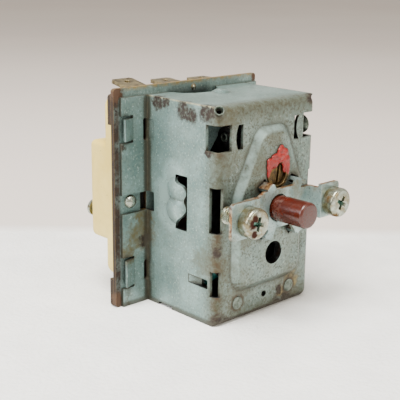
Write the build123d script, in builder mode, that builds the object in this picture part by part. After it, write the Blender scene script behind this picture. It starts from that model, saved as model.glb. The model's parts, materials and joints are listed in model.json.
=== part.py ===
from build123d import *
import math
import os

os.makedirs("parts", exist_ok=True)

# Panel-mounted over-temperature limiter with a manual reset button: a folded sheet-steel box
# holds the lever mechanism, and a ceramic block behind it holds three switched poles.
# Origin: on the reset button's axis, in the front plane of the two mounting ears, which is the
# rear face of the panel. -Y points out through the panel at the user, +Z is up. Millimetres.

# ---- driving dimensions --------------------------------------------------------------------
SCREW_SPACING = 28.0        # between the two M4 panel screws
EAR_STANDOFF = 8.0          # from the ears' front plane back to the box's front face
BOX_LEFT = 15.4             # from the button's axis out to each side wall
BOX_RIGHT = 16.5
BOX_D = 24.4                # front face to the base plate
BOX_H = 50.5
BOX_BOTTOM = -26.6
SHEET = 0.8                 # housing sheet
BEND_R = 1.6
FOOT_R = 2.0                # the box's lower right corner
EMBOSS = 1.5                # raised panel on the front face
PLATE_T = 1.0               # base plate
RETAINER_T = 1.2            # plate between the base plate and the ceramic block
PLATE_LEFT = 9.3            # how far the base plate stands out past the box on each side
PLATE_RIGHT = 4.9
PLATE_ABOVE = 2.05
FLANGE_LEFT = 7.7
FLANGE_RIGHT = 4.5
POLE_PITCH = 12.3
BUTTON_R = 3.0
BUTTON_TIP = -5.4
BUTTON_TRAVEL = 2.5
GAP = 0.1                   # working gap between mechanism pieces that push on one another
RUNNING = 0.05              # radial clearance on pins and shafts

# ---- derived places ------------------------------------------------------------------------
BOX_W = BOX_LEFT + BOX_RIGHT
BOX_X = (BOX_RIGHT - BOX_LEFT) / 2
WALL = {-1: -BOX_LEFT, 1: BOX_RIGHT}
FACE = EAR_STANDOFF - EMBOSS
BOX_TOP = BOX_BOTTOM + BOX_H
FRONT = EAR_STANDOFF
INNER_FRONT = FRONT + SHEET
BASE_FRONT = FRONT + BOX_D
RETAINER_FRONT = BASE_FRONT + PLATE_T
BLOCK_FRONT = RETAINER_FRONT + RETAINER_T
PLATE_TOP = BOX_TOP + PLATE_ABOVE
POLES = {"left": -POLE_PITCH, "centre": 0.0, "right": POLE_PITCH}

# lever mechanism, as (y, z)
ROCKER = (FRONT + 3.4, 16.4)
LEVER_Y = 16.0              # front face of the trip lever's plate
LEVER_T = 0.8
LUG_X = 9.5                 # middle of each lever lug
LUG_R = 2.4
LATCH = (27.5, -3.0)
BRIDGE_Y = 24.0
BRIDGE_DEPTH = 3.0
PUSH_Z = -7.0               # height at which the bridge pushes the contact arms
DIAPHRAGM_Z = -12.2

# contact system
STRIP_Y = BLOCK_FRONT + 2.0
STRIP_T = 0.8
STRIP_W = 6.3
CONTACT_R = 1.5
CONTACT_T = 0.8
CONTACT_Z = 6.4
ARM_T = 0.3
ARM_Y = STRIP_Y + STRIP_T + 2 * CONTACT_T + 2 * RUNNING
ARM_PIVOT_Z = -15.5
ARM_W = 5.0


def face_plane(y):
    """Sketch plane facing the user at depth y: sketch x is +X and sketch y is +Z."""
    return Plane(origin=(0, y, 0), x_dir=(1, 0, 0), z_dir=(0, -1, 0))


def side_plane(x):
    """Sketch plane across the object at x: sketch x is +Y and sketch y is +Z."""
    return Plane(origin=(x, 0, 0), x_dir=(0, 1, 0), z_dir=(1, 0, 0))


def write(piece, name):
    piece.part.label = name
    export_step(piece.part, f"parts/{name}.step")


# ---- housing -------------------------------------------------------------------------------
EMBOSS_OUTLINE = [(-11.4, -20.0), (13.0, -20.0), (13.0, 3.6), (6.6, 18.9), (-3.6, 18.9), (-11.4, 3.6)]
EMBOSS_RADII = [5.0, 5.0, 9.0, 4.6, 4.6, 9.0]
EMBOSS_LEAN = 48            # degrees that the raised panel's rim leans in
EMBOSS_EDGE_R = 0.9

WINDOW_Z = (13.9, 19.8)     # windows that wrap the two front bends
WINDOWS = [(-1, 4.2, 3.9), (1, 4.05, 6.2)]          # side, reach across the front, reach along the wall
BOWED_SLOTS = [(-7.7, -9.2, -9.9), (9.2, 10.9, 10.0)]   # x of the straight edge, the ends and the middle
BOWED_SLOT_Z = (13.9, 19.5)
# slots that wrap the front bends: side, reach across the front, reach along the wall, low, high
BEND_SLOTS = [(-1, 1.8, 2.5, -4.5, 5.9), (-1, 1.5, 2.0, -19.5, -13.5), (1, 1.5, 1.5, -3.7, 5.9)]
CALIBRATION = (2.3, 7.0)
CALIBRATION_R = 3.4
VIEW_HOLE = (1.8, -11.8)
VIEW_HOLE_R = 2.75
SMALL_HOLE = (0.5, -22.2)
SMALL_HOLE_R = 0.75
FRONT_RIVETS = [(-8.4, -22.2), (9.2, -22.2)]
RIVET_R = 1.5
HOOKS = [(-2.65, 4.9, 32), (7.9, 4.95, -25), (-3.2, -6.4, -25), (7.6, -6.6, 32)]  # x, z, turn
HOOK_SLOT = (3.0, 1.9)
HOOK = (2.2, 0.9)
BUSH_R = 3.45
CORNER_HOLE = (0.55, 0.55, 1.0)     # back from the wall, the front face and the top
CORNER_HOLE_R = 0.9

# bow-shaped cut in each side wall, with a two-lobed tongue standing into it, as (y, z)
BOW_STRAIGHT = [(21.7, 6.9), (17.8, 6.9), (17.8, -5.9), (21.7, -5.9)]
BOW_LOBES = [(21.7, -5.9), (21.2, -4.3), (19.6, -2.9), (18.2, -0.5), (18.9, 1.1)]
BOW_LOBES += [(18.15, 2.6), (19.0, 4.2), (21.1, 4.9), (21.7, 6.9)]
DOMES = [(21.6, 3.2, 3.0, 0.6), (21.6, -1.6, 3.2, 0.8)]     # y, z, radius and height of the pressed lobes

LOUVRE_Y = (10.8, 17.2)
LOUVRE_Z = (-17.9, -15.8)
LOUVRE_DROP = 1.0
LOUVRE_TIP_Y = 13.6
FOOT_SLOT_Y = (22.9, 27.6)
FOOT_SLOT_H = 0.7
TOP_NOTCH = [(-9.4, 33.0), (-7.2, 28.4), (-4.6, 26.6), (-0.6, 26.0), (5.2, 29.4), (7.4, 33.0)]
TOP_DOME = (1.3, 24.3, 2.3, 0.7)    # x, y, radius and height

TONGUES_Z = [(13.9, 19.0), (-21.4, -14.9)]
TONGUE_X = (4.6, 7.4)               # root and free end, out from the box's side
TONGUE_LEAN = 1.2
TONGUE_SLIT = 0.6
FLANGE_SLOTS_Z = [(13.2, 18.7), (-21.2, -16.0)]
FLANGE_SLOT_X = (-0.1, 1.25)        # across the root of the flange, out from the side wall
FLANGE_NOTCH_Z = (-3.6, 1.0)
NOTCH_SLOT_X = (-0.1, 1.7)
THROUGH = 4.0                       # length of a cutting tool that passes one sheet


def dome_section(radius, height):
    """Half of a shallow dome's section, to be turned about its own upright edge."""
    sphere_r = (radius ** 2 + height ** 2) / (2 * height)
    half = math.asin(radius / sphere_r) / 2
    middle = (sphere_r * math.sin(half), height - sphere_r * (1 - math.cos(half)))
    with BuildLine() as outline:
        ThreePointArc((0, height), middle, (radius, 0))
        Polyline((radius, 0), (0, 0), (0, height))
    make_face(outline.edges())


def flange_cuts(side, width):
    """The slits, tongues, slots and notch of one flange. side is -1 at the left, 1 at the right."""
    narrowing = width / FLANGE_LEFT
    root, tip = (WALL[side] + side * reach * narrowing for reach in TONGUE_X)
    with BuildSketch(face_plane(BASE_FRONT + 1)) as cuts:
        for low, high in TONGUES_Z:
            with Locations(((root + tip) / 2, (low + high) / 2)):
                Rectangle(abs(tip - root) + TONGUE_SLIT, high - low + 2 * TONGUE_SLIT)
        with Locations((WALL[side] + side * width / 2, sum(FLANGE_NOTCH_Z) / 2)):
            Rectangle(width + 2 * SHEET, FLANGE_NOTCH_Z[1] - FLANGE_NOTCH_Z[0])
        for low, high in FLANGE_SLOTS_Z:
            with Locations((WALL[side] + side * sum(FLANGE_SLOT_X) / 2, (low + high) / 2)):
                SlotOverall(high - low, FLANGE_SLOT_X[1] - FLANGE_SLOT_X[0], rotation=90)
    extrude(cuts.sketch, amount=THROUGH, mode=Mode.SUBTRACT)


def flange_tongues(side, width):
    """Lanced tongues, rooted beside the box and leaning forward at their free ends."""
    narrowing = width / FLANGE_LEFT
    root, tip = (WALL[side] + side * reach * narrowing for reach in TONGUE_X)
    for low, high in TONGUES_Z:
        with BuildSketch(Plane.XY.offset(low)) as tongue:
            Polygon(
                (root - side * SHEET / 2, BASE_FRONT - SHEET),
                (tip, BASE_FRONT - SHEET - TONGUE_LEAN),
                (tip, BASE_FRONT - TONGUE_LEAN),
                (root - side * SHEET / 2, BASE_FRONT),
                align=None,
            )
        extrude(tongue.sketch, amount=high - low)


def side_wall_cuts(side):
    with BuildSketch(side_plane(WALL[side])) as cuts:
        with BuildLine():
            Polyline(*BOW_STRAIGHT)
            Spline(*BOW_LOBES)
        make_face()
        with Locations((sum(LOUVRE_Y) / 2, sum(LOUVRE_Z) / 2)):
            Rectangle(LOUVRE_Y[1] - LOUVRE_Y[0], LOUVRE_Z[1] - LOUVRE_Z[0])
        with Locations((sum(FOOT_SLOT_Y) / 2, BOX_BOTTOM)):
            Rectangle(FOOT_SLOT_Y[1] - FOOT_SLOT_Y[0], 2 * FOOT_SLOT_H)
    extrude(cuts.sketch, amount=SHEET + 1, both=True, mode=Mode.SUBTRACT)


def side_wall_domes(side):
    """The two lobes, pressed outwards beside the bow-shaped cut."""
    for y, z, radius, height in DOMES:
        outward = Plane(origin=(WALL[side], y, z), x_dir=(0, 1, 0), z_dir=(0, 0, -side))
        with BuildSketch(outward) as section:
            dome_section(radius, height)
        revolve(section.sketch, axis=Axis((WALL[side], y, z), (side, 0, 0)))


def louvre_blade(side):
    """Strip lanced out of the side wall, rooted at its rear end and sloping into the box."""
    wall = WALL[side]
    drop = side * LOUVRE_DROP
    with BuildSketch(Plane.XY.offset(LOUVRE_Z[0])) as strip:
        Polygon(
            (wall, LOUVRE_Y[1] + SHEET / 2),
            (wall - drop, LOUVRE_TIP_Y),
            (wall - drop - side * SHEET, LOUVRE_TIP_Y),
            (wall - side * SHEET, LOUVRE_Y[1] + SHEET / 2),
            align=None,
        )
    extrude(strip.sketch, amount=LOUVRE_Z[1] - LOUVRE_Z[0])


def bend_opening(side, reach_x, reach_y, low, high):
    """Opening that wraps a front bend, cut out of the corner of the box."""
    with BuildSketch(Plane.XY.offset(low)) as corner:
        with Locations((WALL[side], FRONT)):
            Rectangle(2 * reach_x, 2 * reach_y)
    extrude(corner.sketch, amount=high - low, mode=Mode.SUBTRACT)


def bowed_slot(straight, end, middle):
    low, high = BOWED_SLOT_Z
    with BuildLine() as outline:
        Polyline((end, low), (straight, low), (straight, high), (end, high))
        ThreePointArc((end, high), (middle, (low + high) / 2), (end, low))
    make_face(outline.edges())


with BuildPart() as housing:
    with BuildSketch(Plane.XY.offset(BOX_BOTTOM)):
        with Locations((BOX_X, FRONT + BOX_D / 2)):
            Rectangle(BOX_W, BOX_D)
    extrude(amount=BOX_H)
    fillet(housing.edges().filter_by(Axis.Y).group_by(Axis.Z)[0].sort_by(Axis.X)[-1], FOOT_R)
    front_face = housing.faces().sort_by(Axis.Y)[0]
    fillet(front_face.edges(), BEND_R)
    with BuildSketch(Plane.XY.offset(BOX_BOTTOM + SHEET)):
        with Locations((BOX_X, (INNER_FRONT + BASE_FRONT + 1) / 2)):
            Rectangle(BOX_W - 2 * SHEET, BASE_FRONT + 1 - INNER_FRONT)
    extrude(amount=BOX_H - 2 * SHEET, mode=Mode.SUBTRACT)
    for side, width in ((-1, FLANGE_LEFT), (1, FLANGE_RIGHT)):
        with BuildSketch(face_plane(BASE_FRONT)):
            with Locations((WALL[side] + side * (width - SHEET) / 2, (BOX_TOP + BOX_BOTTOM) / 2)):
                Rectangle(width + SHEET, BOX_H)
        extrude(amount=SHEET)
    # raised panel, with its hollow behind
    with BuildSketch(face_plane(FRONT + SHEET / 2)):
        with BuildLine():
            FilletPolyline(*EMBOSS_OUTLINE, radius=EMBOSS_RADII, close=True)
        make_face()
    extrude(amount=EMBOSS + SHEET / 2, taper=EMBOSS_LEAN)
    fillet(housing.faces().sort_by(Axis.Y)[0].edges(), EMBOSS_EDGE_R)
    with BuildSketch(face_plane(INNER_FRONT)):
        with BuildLine():
            FilletPolyline(*EMBOSS_OUTLINE, radius=EMBOSS_RADII, close=True)
        make_face()
        offset(amount=-SHEET)
    extrude(amount=EMBOSS, taper=EMBOSS_LEAN, mode=Mode.SUBTRACT)
    # openings in the front face
    with BuildSketch(face_plane(INNER_FRONT + 1)):
        for edges in BOWED_SLOTS:
            bowed_slot(*edges)
        with Locations((0, 0)):
            Circle(BUSH_R)
        with Locations(CALIBRATION):
            Circle(CALIBRATION_R)
        with Locations(VIEW_HOLE):
            Circle(VIEW_HOLE_R)
        with Locations(SMALL_HOLE):
            Circle(SMALL_HOLE_R)
        with Locations(*FRONT_RIVETS):
            Circle(RIVET_R)
        for x, z, turn in HOOKS:
            with Locations((x, z)):
                Rectangle(*HOOK_SLOT, rotation=turn)
    extrude(amount=THROUGH, mode=Mode.SUBTRACT)
    # openings that wrap the front bends
    for side, across, along in WINDOWS:
        bend_opening(side, across, along, *WINDOW_Z)
    for side, across, along, low, high in BEND_SLOTS:
        bend_opening(side, across, along, low, high)
    inward, backward, down = CORNER_HOLE
    for side in (-1, 1):
        with Locations((WALL[side] - side * inward, FRONT + backward, BOX_TOP - down)):
            Sphere(CORNER_HOLE_R, mode=Mode.SUBTRACT)
        side_wall_domes(side)
        side_wall_cuts(side)
        louvre_blade(side)
    # top sheet: clearance notch over the base plate's rivet, and a small dome
    with BuildSketch(Plane.XY.offset(BOX_TOP - SHEET - 1)):
        Polygon(*TOP_NOTCH, align=None)
    extrude(amount=THROUGH, mode=Mode.SUBTRACT)
    with BuildSketch(Plane(origin=(TOP_DOME[0], TOP_DOME[1], BOX_TOP), x_dir=(1, 0, 0), z_dir=(0, -1, 0))):
        dome_section(TOP_DOME[2], TOP_DOME[3])
    revolve(axis=Axis((TOP_DOME[0], TOP_DOME[1], BOX_TOP), (0, 0, 1)))
    for side, width in ((-1, FLANGE_LEFT), (1, FLANGE_RIGHT)):
        flange_cuts(side, width)
        flange_tongues(side, width)
write(housing, "housing")

# ---- base plate and retaining plate --------------------------------------------------------
PLATE_W = BOX_W + PLATE_LEFT + PLATE_RIGHT
PLATE_X = BOX_X + (PLATE_RIGHT - PLATE_LEFT) / 2
PLATE_H = BOX_H + PLATE_ABOVE
PLATE_Z = (BOX_BOTTOM + PLATE_TOP) / 2
PLATE_CORNER_R = 0.8
PIN_R = 1.2
PIN_HOLE_R = 2.0
CLINCH_R = 0.7              # rivets that join the base plate and the retaining plate
CLINCHES = [(-20.2, -0.9, 1.65, 1.4), (19.6, -0.9, 1.65, 1.4), (-0.2, 24.3, 0.85, 0.4)]    # x, z, head
EDGE_RECESS_Z = (-19.6, 17.6)
EDGE_RECESS_W = 0.9
RETAINER_SHIFT = 0.3        # the retaining plate lies a little to the right
RETAINER_DROP = 1.4
BLOCK_SCREWS = [(-18.3, -6.2), (18.3, 5.0)]
BLOCK_SCREW_R = 1.25

with BuildPart() as base_plate:
    with BuildSketch(face_plane(RETAINER_FRONT)):
        with Locations((PLATE_X, PLATE_Z)):
            RectangleRounded(PLATE_W, PLATE_H, PLATE_CORNER_R)
        with Locations(*[(x, PUSH_Z) for x in POLES.values()]):
            Circle(PIN_HOLE_R, mode=Mode.SUBTRACT)
        with Locations(*[(x, z) for x, z, _, _ in CLINCHES]):
            Circle(CLINCH_R, mode=Mode.SUBTRACT)
        # slots behind the flanges' slots and notches
        slot_w = FLANGE_SLOT_X[1] - FLANGE_SLOT_X[0]
        for side in (-1, 1):
            for low, high in FLANGE_SLOTS_Z:
                with Locations((WALL[side] + side * sum(FLANGE_SLOT_X) / 2, (low + high) / 2)):
                    SlotOverall(high - low, slot_w, rotation=90, mode=Mode.SUBTRACT)
            with Locations((WALL[side] + side * sum(NOTCH_SLOT_X) / 2, sum(FLANGE_NOTCH_Z) / 2)):
                Rectangle(
                    NOTCH_SLOT_X[1] - NOTCH_SLOT_X[0],
                    FLANGE_NOTCH_Z[1] - FLANGE_NOTCH_Z[0],
                    mode=Mode.SUBTRACT,
                )
    extrude(amount=PLATE_T)
write(base_plate, "base_plate")

with BuildPart() as retaining_plate:
    with BuildSketch(face_plane(BLOCK_FRONT)):
        with Locations((PLATE_X + RETAINER_SHIFT, PLATE_Z - RETAINER_DROP / 2)):
            RectangleRounded(PLATE_W + 2 * RETAINER_SHIFT, PLATE_H - RETAINER_DROP, PLATE_CORNER_R)
        with Locations(*[(x, PUSH_Z) for x in POLES.values()]):
            Circle(PIN_HOLE_R, mode=Mode.SUBTRACT)
        with Locations(*[(x, z) for x, z, _, _ in CLINCHES]):
            Circle(CLINCH_R, mode=Mode.SUBTRACT)
        with Locations(*BLOCK_SCREWS):
            Circle(BLOCK_SCREW_R + RUNNING, mode=Mode.SUBTRACT)
        for edge in (-PLATE_W / 2 - RETAINER_SHIFT, PLATE_W / 2 + RETAINER_SHIFT):
            with Locations((PLATE_X + RETAINER_SHIFT + edge, sum(EDGE_RECESS_Z) / 2)):
                Rectangle(2 * EDGE_RECESS_W, EDGE_RECESS_Z[1] - EDGE_RECESS_Z[0], mode=Mode.SUBTRACT)
    extrude(amount=RETAINER_T)
write(retaining_plate, "retaining_plate")

with BuildPart() as plate_rivets:
    with BuildSketch(face_plane(BLOCK_FRONT)):
        with Locations(*[(x, z) for x, z, _, _ in CLINCHES]):
            Circle(CLINCH_R)
    extrude(amount=BLOCK_FRONT - BASE_FRONT)
    for x, z, head_r, head_h in CLINCHES:
        with BuildSketch(Plane(origin=(x, BASE_FRONT, z), x_dir=(1, 0, 0), z_dir=(0, 0, -1))):
            dome_section(head_r, head_h)
        revolve(axis=Axis((x, BASE_FRONT, z), (0, -1, 0)))
write(plate_rivets, "plate_rivets")

# ---- ceramic terminal block ----------------------------------------------------------------
BLOCK_HALF_W = 20.5
BLOCK_Z = (-21.6, 23.3)
BLOCK_REAR = FRONT + 34.1
BOSS_Z = (-12.6, 11.7)
BOSS_REAR = FRONT + 40.3
BLOCK_CORNER_R = 3.0
BLOCK_EDGE_R = 1.6
BOSS_CORNER_R = 1.2
BOSS_EDGE_R = 2.2
BOSS_FLOOR = 1.6            # ceramic left between a bay and the boss's lower face
BAY_W = 9.0
BAY_Z = (-18.5, 10.0)
BAY_SHALLOW = BLOCK_REAR - 1.4
BAY_DEEP = BOSS_REAR - 3.0
SLOT_CLEAR = 0.2
ARM_SEAT = 0.25             # gap between a contact arm and the strip that it is riveted to
LOWER_STRIP_Y = ARM_Y - ARM_SEAT - STRIP_T

with BuildPart() as terminal_block:
    with BuildSketch(face_plane(BLOCK_REAR)):
        with Locations((0, sum(BLOCK_Z) / 2)):
            RectangleRounded(2 * BLOCK_HALF_W, BLOCK_Z[1] - BLOCK_Z[0], BLOCK_CORNER_R)
    extrude(amount=BLOCK_REAR - BLOCK_FRONT)
    fillet(terminal_block.faces().sort_by(Axis.Y)[-1].edges(), BLOCK_EDGE_R)
    with BuildSketch(face_plane(BOSS_REAR)):
        with Locations((0, sum(BOSS_Z) / 2)):
            RectangleRounded(2 * BLOCK_HALF_W, BOSS_Z[1] - BOSS_Z[0], BOSS_CORNER_R)
    extrude(amount=BOSS_REAR - BLOCK_FRONT)
    fillet(terminal_block.faces().sort_by(Axis.Y)[-1].edges(), BOSS_EDGE_R)
    # one bay for each pole, shallow at the ends and deep inside the boss
    for x in POLES.values():
        with BuildSketch(face_plane(BLOCK_FRONT)):
            with Locations((x, sum(BAY_Z) / 2)):
                Rectangle(BAY_W, BAY_Z[1] - BAY_Z[0])
        extrude(amount=-(BAY_SHALLOW - BLOCK_FRONT), mode=Mode.SUBTRACT)
        with BuildSketch(face_plane(BLOCK_FRONT)):
            with Locations((x, (BOSS_Z[0] + BOSS_FLOOR + BAY_Z[1]) / 2)):
                Rectangle(BAY_W, BAY_Z[1] - BOSS_Z[0] - BOSS_FLOOR)
        extrude(amount=-(BAY_DEEP - BLOCK_FRONT), mode=Mode.SUBTRACT)
        with BuildSketch(Plane.XY.offset(BAY_Z[1] - 1)):
            with Locations((x, STRIP_Y + STRIP_T / 2)):
                Rectangle(STRIP_W + 2 * SLOT_CLEAR, STRIP_T + 2 * SLOT_CLEAR)
        extrude(amount=BLOCK_Z[1] - BAY_Z[1] + 2, mode=Mode.SUBTRACT)
        with BuildSketch(Plane.XY.offset(BAY_Z[0] + 1)):
            with Locations((x, LOWER_STRIP_Y + STRIP_T / 2)):
                Rectangle(STRIP_W + 2 * SLOT_CLEAR, STRIP_T + 2 * SLOT_CLEAR)
        extrude(amount=BLOCK_Z[0] - BAY_Z[0] - 2, mode=Mode.SUBTRACT)
    with BuildSketch(face_plane(BOSS_REAR + 1)):
        with Locations(*BLOCK_SCREWS):
            Circle(BLOCK_SCREW_R + RUNNING)
    extrude(amount=BOSS_REAR + 2 - BLOCK_FRONT, mode=Mode.SUBTRACT)
write(terminal_block, "terminal_block")

BLOCK_HEAD_R = 2.1
BLOCK_HEAD_SIDE = 0.9       # height of the head's straight side
BLOCK_HEAD_H = 1.7
BLOCK_HEAD_SLOT = (0.7, 0.8)        # width and depth
with BuildPart() as block_screws:
    for x, z in BLOCK_SCREWS:
        shank_end = RETAINER_FRONT - BOSS_REAR
        with BuildSketch(Plane(origin=(x, BOSS_REAR, z), x_dir=(1, 0, 0), z_dir=(0, 0, 1))):
            with BuildLine():
                Polyline(
                    (0, BLOCK_HEAD_H),
                    (0, shank_end),
                    (BLOCK_SCREW_R, shank_end),
                    (BLOCK_SCREW_R, 0),
                    (BLOCK_HEAD_R, 0),
                    (BLOCK_HEAD_R, BLOCK_HEAD_SIDE),
                )
                bulge = (BLOCK_HEAD_R * 2 / 3, BLOCK_HEAD_SIDE + (BLOCK_HEAD_H - BLOCK_HEAD_SIDE) * 0.7)
                ThreePointArc((BLOCK_HEAD_R, BLOCK_HEAD_SIDE), bulge, (0, BLOCK_HEAD_H))
            make_face()
        revolve(axis=Axis((x, BOSS_REAR, z), (0, 1, 0)))
        with BuildSketch(face_plane(BOSS_REAR + BLOCK_HEAD_H)):
            with Locations((x, z)):
                Rectangle(BLOCK_HEAD_SLOT[0], 2 * BLOCK_HEAD_R + 1)
        extrude(amount=BLOCK_HEAD_SLOT[1], mode=Mode.SUBTRACT)
write(block_screws, "block_screws")

# ---- terminals and contacts ----------------------------------------------------------------
BLADE_L = 8.7
BLADE_RISE = {"left": 11.0, "centre": 4.0, "right": 0.0}    # degrees that each upper blade is bent up
BLADE_HOLE_R = 0.75
BLADE_HOLE_IN = 2.6         # from the tip
BLADE_CHAMFER = 0.6
UPPER_Z = BLOCK_Z[1] + SLOT_CLEAR
LOWER_Z = BLOCK_Z[0] - SLOT_CLEAR
STRIP_END_Z = 4.2
STRIP_PAST_RIVET = 2.4
STEM_R = 0.7                # stem of each contact
STEM_PROUD = 0.2
ARM_RIVET_R = 0.8
ARM_PAST = 2.0              # arm beyond its rivet, and beyond its contact
ARM_CORNER_R = 0.8


def blade(x, root_y, root_z, rise):
    """Flat tab pointing to the rear, with a hole near its tip."""
    lift = math.radians(rise)
    tab = Plane(origin=(x, root_y, root_z), x_dir=(1, 0, 0), z_dir=(0, -math.sin(lift), math.cos(lift)))
    with BuildSketch(tab) as outline:
        with Locations((0, BLADE_L / 2)):
            Rectangle(STRIP_W, BLADE_L)
        chamfer(outline.vertices().group_by(Axis.Y)[-1], BLADE_CHAMFER)
        with Locations((0, BLADE_L - BLADE_HOLE_IN)):
            Circle(BLADE_HOLE_R, mode=Mode.SUBTRACT)
    extrude(outline.sketch, amount=STRIP_T)


for pole, x in POLES.items():
    with BuildPart() as line_terminal:
        with BuildSketch(face_plane(STRIP_Y + STRIP_T)):
            with Locations((x, (STRIP_END_Z + UPPER_Z + STRIP_T) / 2)):
                Rectangle(STRIP_W, UPPER_Z + STRIP_T - STRIP_END_Z)
            with Locations((x, CONTACT_Z)):
                Circle(STEM_R, mode=Mode.SUBTRACT)
        extrude(amount=STRIP_T)
        blade(x, STRIP_Y + STRIP_T / 2, UPPER_Z, BLADE_RISE[pole])
    write(line_terminal, f"line_terminal_{pole}")

    with BuildPart() as load_terminal:
        with BuildSketch(face_plane(LOWER_STRIP_Y + STRIP_T)):
            with Locations((x, (LOWER_Z - STRIP_T + ARM_PIVOT_Z + STRIP_PAST_RIVET) / 2)):
                Rectangle(STRIP_W, ARM_PIVOT_Z + STRIP_PAST_RIVET - LOWER_Z + STRIP_T)
            with Locations((x, ARM_PIVOT_Z)):
                Circle(ARM_RIVET_R, mode=Mode.SUBTRACT)
        extrude(amount=STRIP_T)
        blade(x, LOWER_STRIP_Y + STRIP_T / 2, LOWER_Z - STRIP_T, 0)
    write(load_terminal, f"load_terminal_{pole}")

    with BuildPart() as fixed_contact:
        with BuildSketch(face_plane(STRIP_Y + STRIP_T + CONTACT_T)):
            with Locations((x, CONTACT_Z)):
                Circle(CONTACT_R)
        extrude(amount=CONTACT_T)
        with BuildSketch(face_plane(STRIP_Y + STRIP_T)):
            with Locations((x, CONTACT_Z)):
                Circle(STEM_R)
        extrude(amount=STRIP_T + STEM_PROUD)
    write(fixed_contact, f"fixed_contact_{pole}")

    with BuildPart() as contact_arm:
        with BuildSketch(face_plane(ARM_Y + ARM_T)) as outline:
            with Locations((x, (ARM_PIVOT_Z + CONTACT_Z) / 2)):
                Rectangle(ARM_W, CONTACT_Z - ARM_PIVOT_Z + 2 * ARM_PAST)
            fillet(outline.vertices(), ARM_CORNER_R)
            with Locations((x, ARM_PIVOT_Z)):
                Circle(ARM_RIVET_R + RUNNING, mode=Mode.SUBTRACT)
            with Locations((x, CONTACT_Z)):
                Circle(STEM_R, mode=Mode.SUBTRACT)
        extrude(amount=ARM_T)
    write(contact_arm, f"contact_arm_{pole}")

    with BuildPart() as moving_contact:
        with BuildSketch(face_plane(ARM_Y)):
            with Locations((x, CONTACT_Z)):
                Circle(CONTACT_R)
        extrude(amount=CONTACT_T)
        with BuildSketch(face_plane(ARM_Y + ARM_T + STEM_PROUD)):
            with Locations((x, CONTACT_Z)):
                Circle(STEM_R)
        extrude(amount=ARM_T + STEM_PROUD)
    write(moving_contact, f"moving_contact_{pole}")

ARM_RIVET_GAP = 0.2
ARM_RIVET_HEAD = (1.4, 0.6)         # radius and height
with BuildPart() as arm_rivets:
    for x in POLES.values():
        with BuildSketch(face_plane(ARM_Y + ARM_T + ARM_RIVET_GAP)):
            with Locations((x, ARM_PIVOT_Z)):
                Circle(ARM_RIVET_R)
        extrude(amount=ARM_T + ARM_RIVET_GAP + ARM_SEAT + STRIP_T)
        with BuildSketch(face_plane(ARM_Y + ARM_T + ARM_RIVET_GAP + ARM_RIVET_HEAD[1])):
            with Locations((x, ARM_PIVOT_Z)):
                Circle(ARM_RIVET_HEAD[0])
        extrude(amount=ARM_RIVET_HEAD[1])
write(arm_rivets, "arm_rivets")

# ---- push bridge ---------------------------------------------------------------------------
BRIDGE_H = 4.0
BRIDGE_HALF_W = 13.9
BRIDGE_CORNER_R = 0.8
PIN_SEAT = 1.5
PIN_CHAMFER = 0.3
with BuildPart() as push_bridge:
    with BuildSketch(face_plane(BRIDGE_Y + BRIDGE_DEPTH)):
        with Locations((0, PUSH_Z)):
            RectangleRounded(2 * BRIDGE_HALF_W, BRIDGE_H, BRIDGE_CORNER_R)
    extrude(amount=BRIDGE_DEPTH)
    with BuildSketch(face_plane(BRIDGE_Y + BRIDGE_DEPTH)):
        with Locations(*[(x, PUSH_Z) for x in POLES.values()]):
            Circle(PIN_R)
    extrude(amount=PIN_SEAT, mode=Mode.SUBTRACT)
write(push_bridge, "push_bridge")

for pole, x in POLES.items():
    with BuildPart() as push_pin:
        with BuildSketch(face_plane(ARM_Y - GAP)):
            with Locations((x, PUSH_Z)):
                Circle(PIN_R)
        extrude(amount=ARM_Y - GAP - (BRIDGE_Y + BRIDGE_DEPTH - PIN_SEAT))
        chamfer(push_pin.edges().sort_by(Axis.Y)[-1], PIN_CHAMFER)
    write(push_pin, f"push_pin_{pole}")

# ---- trip lever on its axle ----------------------------------------------------------------
AXLE_R = 1.0
AXLE_HEAD_R = 2.2
AXLE_HEAD_H = 1.2
AXLE_END = 0.5              # axle beyond the lever's left lug
AXLE_LEFT = -LUG_X - LEVER_T / 2 - AXLE_END
AXLE_HOLLOW = (0.6, 2.0)            # radius and depth of the hollow in its left end
AXLE_RIGHT = 15.9
LEVER_HALF_W = LUG_X + LEVER_T / 2
LEVER_Z = (DIAPHRAGM_Z - 3.0, CALIBRATION[1] + 2.6)
LUG_ROOT_Z = (LEVER_Z[1] - 6.0, LEVER_Z[1] + 2.0)   # where each lug leaves the plate
ROD_R = 1.0
ROD_CLEAR = 1.0             # round the reset rod, where it passes through the lever
STUD_R = 1.5
STUD_STEM_R = 1.0
STUD_PROUD = 0.3
with BuildPart() as trip_lever:
    with BuildSketch(face_plane(LEVER_Y + LEVER_T)):
        with Locations((0, sum(LEVER_Z) / 2)):
            Rectangle(2 * LEVER_HALF_W, LEVER_Z[1] - LEVER_Z[0])
        Circle(ROD_R + ROD_CLEAR, mode=Mode.SUBTRACT)
        with Locations((0, PUSH_Z)):
            Circle(STUD_STEM_R, mode=Mode.SUBTRACT)
    extrude(amount=LEVER_T)
    for side in (-1, 1):
        with BuildSketch(side_plane(side * LUG_X - LEVER_T / 2)):
            with Locations(ROCKER):
                Circle(LUG_R)
            Polygon(
                (ROCKER[0] - LUG_R, ROCKER[1]),
                (LEVER_Y, LUG_ROOT_Z[0]),
                (LEVER_Y + LEVER_T, LUG_ROOT_Z[0]),
                (LEVER_Y + LEVER_T, LUG_ROOT_Z[1]),
                (ROCKER[0] + LUG_R, ROCKER[1]),
                align=None,
            )
            with Locations(ROCKER):
                Circle(AXLE_R + RUNNING, mode=Mode.SUBTRACT)
        extrude(amount=LEVER_T)
write(trip_lever, "trip_lever")

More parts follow.
